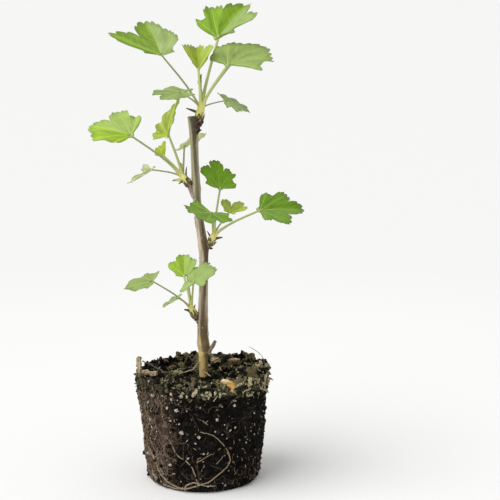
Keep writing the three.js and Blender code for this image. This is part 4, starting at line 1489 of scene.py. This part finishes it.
def build_crumbs(settings):
    """Crumbs and clods of compost on the side and on the soil."""
    rng = random.Random(5)
    stock = Stock()
    tones = {
        "crumb_black": scaled(settings.soil, 0.6),
        "crumb_dark": scaled(settings.soil, 1.6),
        "crumb_brown": scaled(settings.earth, 0.4),
        "crumb_earth": scaled(settings.earth, 0.9),
        "crumb_moss": scaled(settings.moss, 0.6),
        "crumb_tan": scaled(settings.root, 0.7),
    }
    finishes = [crumb_finish(name, colour) for name, colour in tones.items()]

    def tone_at(point, top):
        """Draws a tone: darker on the soil's left, mossy on its rest, and brown where roots bind the side."""
        pick = rng.random()
        if top:
            return rng.choice(LEFT_TONES if point.x < DARK_LEFT else TOP_TONES)
        return rng.choice(ROOTED_TONES if pick < 0.1 + 0.8 * rooted_share(point) else PLAIN_TONES)

    for _ in range(settings.crumbs):
        angle = rng.uniform(0, tau)
        z = rng.uniform(1.5, RIM_TOP)
        size = 0.45 + 1.1 * rng.random() ** 3
        place = side_point(angle, z, -0.2)
        place.z = max(place.z, size)
        level = 1 if size < 0.8 else 2
        stock.add(drawn_lump(rng, place, size, 0.7, 1.2, level), tone_at(place, z > RIM_FOOT))
    for _ in range(settings.top_crumbs):
        share = sqrt(rng.random())
        angle = rng.uniform(0, tau)
        size = 0.5 + 2.0 * rng.random() ** 3
        place = soil_point(angle, share, 0.2)
        if place.xy.length >= CLEAR_OF_CANE + size:
            stock.add(drawn_lump(rng, place, size, 0.7, 1.3), tone_at(place, True))
    for place, radius in CLODS:
        middle = Vector(place)
        stock.add(clod(middle, radius), rng.choice((0, 1, 4)))
        for _ in range(CLOD_CRUMBS):
            offset = direction(rng.uniform(0, 360), rng.uniform(-20, 90)) * radius * rng.uniform(0.7, 1)
            size = radius * rng.uniform(0.14, 0.34)
            stock.add(drawn_lump(rng, middle + offset, size, 0.7, 1.4, rough=0.6), tone_at(middle, True))
    for _ in range(settings.clods):
        place = soil_point(rng.uniform(0, tau), sqrt(rng.uniform(0.03, 0.98)), 0.6)
        radius = rng.uniform(1.2, 2.9)
        if place.xy.length > CLEAR_OF_CANE + 1 + radius:
            stock.add(clod(place, radius, 3), rng.choice((0, 0, 1, 1, 4)))
    (x, z), radius = SIDE_CLOD
    stock.add(clod(side_point(facing_angle(x, z), z, -0.2), radius), 3)
    stock.piece("compost_crumbs", finishes)


def clod(middle, radius, level=4):
    """A ragged clump of compost."""
    template, faces = LUMPS[level]
    points = []
    for point in template:
        place = middle + point * radius
        ragged = 0.8 + 0.45 * grain(place, 3.2, 21) + 0.3 * grain(place, 1.3, 22)
        ragged += 0.5 * (0.4 - noise.voronoi(place / 1.6)[0][0])
        points.append(middle + point * radius * ragged)
    return points, faces


def strand(rng, start, way, length, radius):
    """A short curly strand that starts at a place and arches over."""
    rows = []
    spot = start - way * radius * 2
    heading = way.copy()
    bend = Vector([rng.uniform(-1, 1) for _ in range(3)]) * 0.45
    for step in range(STRAND_STEPS + 1):
        swell = sin(pi * (0.25 + 0.7 * step / STRAND_STEPS)) ** 0.5
        rows.append((*spot, radius * swell * rng.uniform(0.8, 1.15)))
        spot = spot + heading * length / STRAND_STEPS
        heading = (heading + bend + up(-0.12)).normalized()
    return tube(rows, 5)


def build_moss(settings):
    """Curly strands of moss and dead stems on the soil and over its rim."""
    rng = random.Random(8)
    stock = Stock()
    finishes = [
        crumb_finish("moss_olive", settings.moss, 0.85),
        crumb_finish("moss_tan", linear(198, 184, 146), 0.85),
        crumb_finish("moss_dark", scaled(settings.moss, 0.22), 0.9),
        crumb_finish("moss_grey", linear(176, 172, 138), 0.85),
        crumb_finish("moss_fresh", linear(158, 172, 124), 0.75),
    ]
    for _ in range(settings.strands):
        angle = rng.uniform(0, tau)
        right = max(0, cos(angle + 0.25))
        pick = rng.random()
        out = around(angle)
        if pick < 0.25:
            spot = side_point(angle, RIM_TOP - 7 * rng.random() ** 1.5, -0.2)
            way = out * 0.35 + aside(out) * rng.uniform(-1, 1) + up(rng.uniform(-0.7, 1))
        else:
            near_rim = pick < 0.55 + 0.2 * right
            share = rng.uniform(0.84, 0.99) if near_rim else sqrt(rng.uniform(0.04, 1))
            spot = soil_point(angle, share, -0.2)
            way = Vector((rng.uniform(-1, 1), rng.uniform(-1, 1), rng.uniform(0, 1)))
        tones = (0, 2, 2, 2, 3) if out.x < -0.5 else (0, 0, 1, 2, 2, 3)
        tone = rng.choice(tones if rng.random() > 0.6 * right else (1, 0, 3))
        radius = (0.34 + 0.7 * rng.random() ** 2) * (1 + 0.8 * right)
        length = rng.uniform(1.8, 4.6) * (1 + 0.25 * right)
        stock.add(strand(rng, spot, way.normalized(), length, radius), tone)
    for order in range(TUFT_STRANDS):
        way = direction(order * 67, 15)
        foot = Vector(TUFT) + way * rng.uniform(0, 3.4)
        stock.add(strand(rng, foot, way, rng.uniform(1.4, 2.6), rng.uniform(0.3, 0.5)), 4)
    stock.piece("moss_strands", finishes, sharp=60)


def build_grains(settings):
    """White grains in the compost: the larger ones by name, and finer ones all over."""
    rng = random.Random(31)
    stock = Stock()
    white = crumb_finish("grain_white", settings.grain, 0.9)
    cream = crumb_finish("grain_cream", scaled(settings.grain, 0.7), 0.9)
    for (x, z), radius in GRAINS:
        place = side_point(facing_angle(x, z), z, 0.3)
        stock.add(drawn_lump(rng, place, radius, 0.7, 1.0, level=3))
    for _ in range(settings.grains):
        angle = rng.uniform(0, tau)
        size = 0.25 + 0.75 * rng.random() ** 3
        if rng.random() < 0.82:
            place = side_point(angle, rng.uniform(3, 64), 0.2)
        else:
            place = soil_point(angle, sqrt(rng.random()), 0.4)
        stock.add(drawn_lump(rng, place, size, 0.8, 1.15, rough=0.35), rng.choice((0, 0, 1)))
    stock.piece("white_grains", [white, cream])


def chip(place, size, turn, lean, level=4):
    """A ragged square chip of that size, turned about the upright and leaning, in degrees."""
    template, faces = LUMPS[level]
    spin = Euler((0, radians(lean), radians(turn))).to_matrix()
    points = []
    for point in template:
        square = Vector([copysign(abs(c) ** 0.5, c) for c in point])
        ragged = 1 + 0.35 * grain(square * 1.4 + Vector(place), 1, 2) + 0.12 * grain(square * 5, 1, 3)
        spot = Vector(place) + spin @ Vector([c * s * 0.52 * ragged for c, s in zip(square, size)])
        points.append(spot + 0.5 * noise.noise_vector(spot / 1.6))
    return points, faces


def build_chips(settings):
    """Bark chips and a few stones on the soil."""
    rng = random.Random(17)
    noise.seed_set(17)  # or noise_vector changes from run to run
    finishes = {
        "bark_chip": woody_finish("bark_chip", scaled(settings.chip, 0.45), 0.6, 0.3, (1, 0.3, 1)),
        "pale_chip": woody_finish("pale_chip", linear(172, 156, 126), 0.5, 0.25, (0.5, 1, 1)),
        "orange_chip": woody_finish("orange_chip", linear(190, 148, 82), 0.4, 0.25, (0.5, 1, 1)),
        "cream_chip": woody_finish("cream_chip", linear(226, 200, 154), 0.25, 0.25, (0.5, 1, 1)),
    }
    slots = list(finishes)
    stock = Stock()
    for place, size, turn, lean, kind in CHIPS:
        stock.add(chip(place, size, turn, lean), slots.index(kind))
    for _ in range(settings.chips):
        place = soil_point(rng.uniform(0, tau), sqrt(rng.uniform(0.05, 0.95)), 0.4)
        size = [rng.uniform(1, 3), rng.uniform(0.8, 1.8), rng.uniform(0.6, 1.3)]
        small = chip(place, size, rng.uniform(0, 360), rng.uniform(-40, 40), 3)
        stock.add(small, rng.choice((0, 0, 0, 1)))
    stock.piece("bark_chips", list(finishes.values()))


def front_root(route, low, high):
    """The middle line of a root in the ball's front, from radius low to high."""
    ends = len(route) - 1
    rows = [(facing_angle(x, z), z, mix(low, high, order / ends)) for order, (x, z) in enumerate(route)]
    line = []
    for angle, z, radius in smooth_line(rows, 12):
        line.append((*side_point(angle, max(z, 1.2), radius * 0.3), radius * 0.8))
    steady = [line[0]]
    for before, here, after in zip(line, line[1:], line[2:]):
        steady.append(tuple((a + 2 * b + c) / 4 for a, b, c in zip(before, here, after)))
    steady.append(line[-1])
    return [
        (x + 0.25 * grain((x, y, z), 3, 5), y, z + 0.25 * grain((x, y, z), 3, 6), radius)
        for x, y, z, radius in steady
    ]


def build_roots(settings):
    """The thicker roots that show on the ball's front, and those that lie over the soil."""
    stock = Stock()
    for (low, high), route in ROOTS:
        stock.add(tube(front_root(route, low, high), 9, rough_skin(0.08, 1.2, 7)))
    for name, rows in OVER_SOIL.items():
        line = smooth_line(rows, 10)
        bent = [(x, y, z + 0.5 * grain((x, y, z), 4, 9), radius) for x, y, z, radius in line]
        stock.add(tube(bent, 8, rough_skin(0.1, 1.4, 7)), 2 if name in DARK_ROOTS else 1)
    finishes = [
        woody_finish("root_skin", settings.root, 0.35, 0.15, (1, 1, 1)),
        woody_finish("pale_root", scaled(settings.root, 1.25), 0.25, 0.15, (1, 1, 1)),
        woody_finish("dark_root", scaled(settings.root, 0.4), 0.4, 0.15, (1, 1, 1)),
    ]
    stock.piece("surface_roots", finishes)


def fibre_line(rng, angle, z, drift):
    """A fine root that wanders over the ball's side. At drift 0 it runs round the ball, at pi / 2 down."""
    radius = 0.1 + 0.2 * rng.random() ** 2
    line = []
    for step in range(rng.randint(4, 11)):
        z = clamp(z, 0.6, RIM_TOP)
        line.append((*side_point(angle, z, 0.15 + 0.3 * sin(step * 1.3)), radius))
        drift += rng.uniform(-0.5, 0.5)
        angle += FIBRE_STEP * cos(drift) / BALL["mean_radius"]
        z -= FIBRE_STEP * sin(drift)
    return line


def build_fibres(settings):
    """The felt of fine roots, densest where they bind the compost, and short pale flecks."""
    rng = random.Random(3)
    stock = Stock()
    made = 0
    while made < settings.fibres:
        angle = rng.uniform(0, tau)
        z = rng.uniform(4, 64)
        low = 1 - smoothstep(z, 8, 20)
        rooted = rooted_share(side_point(angle, z))
        if rng.random() > 0.04 + 0.96 * rooted + 0.25 * low:
            continue
        made += 1
        if rng.random() < 0.35 + 0.4 * low:
            drift = rng.uniform(0, tau)
        else:
            drift = pi / 2 + rng.uniform(-0.6, 0.6)
        line = fibre_line(rng, angle, z, drift)
        stock.add(tube(line, 4), rng.choice((0, 1, 1, 1, 2) if rooted > 0.4 else (1, 2, 2, 2, 2, 2, 2, 2)))
    for _ in range(settings.flecks):
        spot = side_point(rng.uniform(0, tau), rng.uniform(3, 60), 0.1)
        out = Vector((spot.x, spot.y, 0)).normalized()
        way = aside(out) * rng.uniform(-1, 1) + up(rng.uniform(-1, 1)) + out * 0.25
        fleck = strand(rng, spot, way.normalized(), rng.uniform(0.6, 2.6), rng.uniform(0.12, 0.32))
        stock.add(fleck, rng.choice((0, 3, 3)))
    tones = {
        "fibre_tan": scaled(settings.root, 0.9),
        "fibre_brown": scaled(settings.earth, 0.9),
        "fibre_dark": scaled(settings.earth, 0.35),
        "fleck_pale": scaled(settings.root, 1.5),
    }
    finishes = [woody_finish(name, colour, 0.3, 0.05, (1, 1, 1)) for name, colour in tones.items()]
    stock.piece("root_fibres", finishes, sharp=80)


# ---------------------------------------------------------------- the stage
FLOOR_RADIUS = 30.0
FLOOR_SIDES = 96
CAMERA_PLACE = (0.0297, -0.9, 0.315)
LAMP_AIM = (0.9, 0.5, -1.15)
WHITE = (1, 1, 1, 1)
SEEN_WHITE = 0.935  # how bright the surroundings look, however strongly they light the plant
# The floor is painted lighter near the plant, a pool of painted light that softens the shadow round the ball
FAR_FLOOR = 0.928  # how much darker the floor is far from the plant


def build_stage(settings):
    """A pale floor with painted light near the plant, a large soft lamp on the left, white surroundings, and
    the camera.
    """
    scene = bpy.context.scene
    scene.view_settings.view_transform = "Standard"
    floor_mesh = bpy.data.meshes.new("floor")
    ring = [around(tau * side / FLOOR_SIDES, FLOOR_RADIUS) for side in range(FLOOR_SIDES)]
    floor_mesh.from_pydata(ring, [], [tuple(range(FLOOR_SIDES))])
    finish = Finish("floor_paper", Roughness=0.9)
    x, y, _ = finish.parts(finish.place())
    # Painted light near the plant, darker floor beyond
    far = finish.step((x * x + y * y) ** 0.5, 0.08, 0.8)
    finish.wear(Base_Color=finish.blend(far, settings.floor, scaled(settings.floor, FAR_FLOOR)))
    floor_mesh.materials.append(finish.material)
    floor = bpy.data.objects.new("floor", floor_mesh)
    scene.collection.objects.link(floor)

    world = bpy.data.worlds.new("white_surroundings")
    world.use_nodes = True
    tree = world.node_tree
    lit = tree.nodes["Background"]
    seen = tree.nodes.new("ShaderNodeBackground")
    for background, strength in ((lit, settings.sky), (seen, SEEN_WHITE)):
        background.inputs["Color"].default_value = WHITE
        background.inputs["Strength"].default_value = strength
    rays = tree.nodes.new("ShaderNodeLightPath")
    either = tree.nodes.new("ShaderNodeMixShader")
    tree.links.new(rays.outputs["Is Camera Ray"], either.inputs[0])
    tree.links.new(lit.outputs[0], either.inputs[1])
    tree.links.new(seen.outputs[0], either.inputs[2])
    tree.links.new(either.outputs[0], tree.nodes["World Output"].inputs["Surface"])
    scene.world = world

    lamp_data = bpy.data.lights.new("key_lamp", "SUN")
    lamp_data.angle = settings.key_width
    lamp_data.energy = settings.key
    lamp = bpy.data.objects.new("key_lamp", lamp_data)
    lamp.rotation_euler = Vector(LAMP_AIM).to_track_quat("-Z", "Y").to_euler()
    scene.collection.objects.link(lamp)

    camera_data = bpy.data.cameras.new("camera")
    camera_data.lens = settings.lens
    camera = bpy.data.objects.new("camera", camera_data)
    camera.location = CAMERA_PLACE
    camera.rotation_euler = (pi / 2 - settings.pitch, 0, 0)
    scene.collection.objects.link(camera)
    scene.camera = camera


# ---------------------------------------------------------------- operators
class GooseberryOperator:
    """What the operators share: each runs its builders with one group of settings."""

    bl_options = {"REGISTER", "UNDO"}
    settings = LEAF
    builders = ()

    def execute(self, context):
        for builder in self.builders:
            builder(getattr(context.scene, self.settings))
        return {"FINISHED"}


class GOOSEBERRY_OT_stage(GooseberryOperator, bpy.types.Operator):
    """Add the floor, the lamps and the camera"""

    bl_idname = "gooseberry.stage"
    bl_label = "Stage"
    settings = STAGE
    builders = (build_stage,)


class GOOSEBERRY_OT_cane(GooseberryOperator, bpy.types.Operator):
    """Add the cane's bark with its pores and peeling strips"""

    bl_idname = "gooseberry.cane"
    bl_label = "Cane"
    settings = BARK
    builders = (build_cane, build_bark_details)


class GOOSEBERRY_OT_stub(GooseberryOperator, bpy.types.Operator):
    """Add the dry stub"""

    bl_idname = "gooseberry.stub"
    bl_label = "Dead Stub"
    settings = BARK
    builders = (build_stub,)


class GOOSEBERRY_OT_spurs(GooseberryOperator, bpy.types.Operator):
    """Add the knotty spurs and their buds"""

    bl_idname = "gooseberry.spurs"
    bl_label = "Spurs"
    settings = BARK
    builders = (build_spurs,)


class GOOSEBERRY_OT_scales(GooseberryOperator, bpy.types.Operator):
    """Add the bud scales and spines"""

    bl_idname = "gooseberry.scales"
    bl_label = "Bud Scales"
    builders = (build_scales,)


class GOOSEBERRY_OT_stalks(GooseberryOperator, bpy.types.Operator):
    """Add the green shoots and leaf stalks"""

    bl_idname = "gooseberry.stalks"
    bl_label = "Stalks"
    builders = (build_stalks,)


class GOOSEBERRY_OT_blades(GooseberryOperator, bpy.types.Operator):
    """Add the leaf blades"""

    bl_idname = "gooseberry.blades"
    bl_label = "Blades"
    builders = (build_blades,)


class GOOSEBERRY_OT_ball(GooseberryOperator, bpy.types.Operator):
    """Add the block of compost"""

    bl_idname = "gooseberry.ball"
    bl_label = "Root Ball"
    settings = BALL_LOOK
    builders = (build_ball, build_crumbs)


class GOOSEBERRY_OT_litter(GooseberryOperator, bpy.types.Operator):
    """Add moss, white grains and bark chips"""

    bl_idname = "gooseberry.litter"
    bl_label = "Moss, Grains and Chips"
    settings = BALL_LOOK
    builders = (build_moss, build_grains, build_chips)


class GOOSEBERRY_OT_roots(GooseberryOperator, bpy.types.Operator):
    """Add the roots and fibres on the ball"""

    bl_idname = "gooseberry.roots"
    bl_label = "Roots"
    settings = BALL_LOOK
    builders = (build_roots, build_fibres)


OPERATORS = (
    GOOSEBERRY_OT_stage,
    GOOSEBERRY_OT_cane,
    GOOSEBERRY_OT_stub,
    GOOSEBERRY_OT_spurs,
    GOOSEBERRY_OT_scales,
    GOOSEBERRY_OT_stalks,
    GOOSEBERRY_OT_blades,
    GOOSEBERRY_OT_ball,
    GOOSEBERRY_OT_litter,
    GOOSEBERRY_OT_roots,
)
SETTINGS = {
    LEAF: GooseberryLeafSettings,
    BARK: GooseberryBarkSettings,
    BALL_LOOK: GooseberryBallSettings,
    STAGE: GooseberryStageSettings,
}


class GOOSEBERRY_PT_panel(bpy.types.Panel):
    """Lists the plant's settings and pieces"""

    bl_label = "Gooseberry Bush"
    bl_idname = "GOOSEBERRY_PT_panel"
    bl_space_type = "VIEW_3D"
    bl_region_type = "UI"
    bl_category = "Gooseberry"

    def draw(self, context):
        for group in SETTINGS:
            box = self.layout.box()
            settings = getattr(context.scene, group)
            for name in type(settings).__annotations__:
                box.prop(settings, name)
        for operator in OPERATORS:
            self.layout.operator(operator.bl_idname)


CLASSES = (*SETTINGS.values(), *OPERATORS, GOOSEBERRY_PT_panel)


def register():
    for cls in CLASSES:
        bpy.utils.register_class(cls)
    for name, group in SETTINGS.items():
        setattr(bpy.types.Scene, name, PointerProperty(type=group))


def unregister():
    for name in SETTINGS:
        delattr(bpy.types.Scene, name)
    for cls in reversed(CLASSES):
        bpy.utils.unregister_class(cls)


def main():
    register()
    bpy.ops.gooseberry.stage()
    bpy.ops.gooseberry.cane()
    bpy.ops.gooseberry.stub()
    bpy.ops.gooseberry.spurs()
    bpy.ops.gooseberry.scales()
    bpy.ops.gooseberry.stalks()
    bpy.ops.gooseberry.blades()
    bpy.ops.gooseberry.ball()
    bpy.ops.gooseberry.litter()
    bpy.ops.gooseberry.roots()


if __name__ == "__main__":
    main()
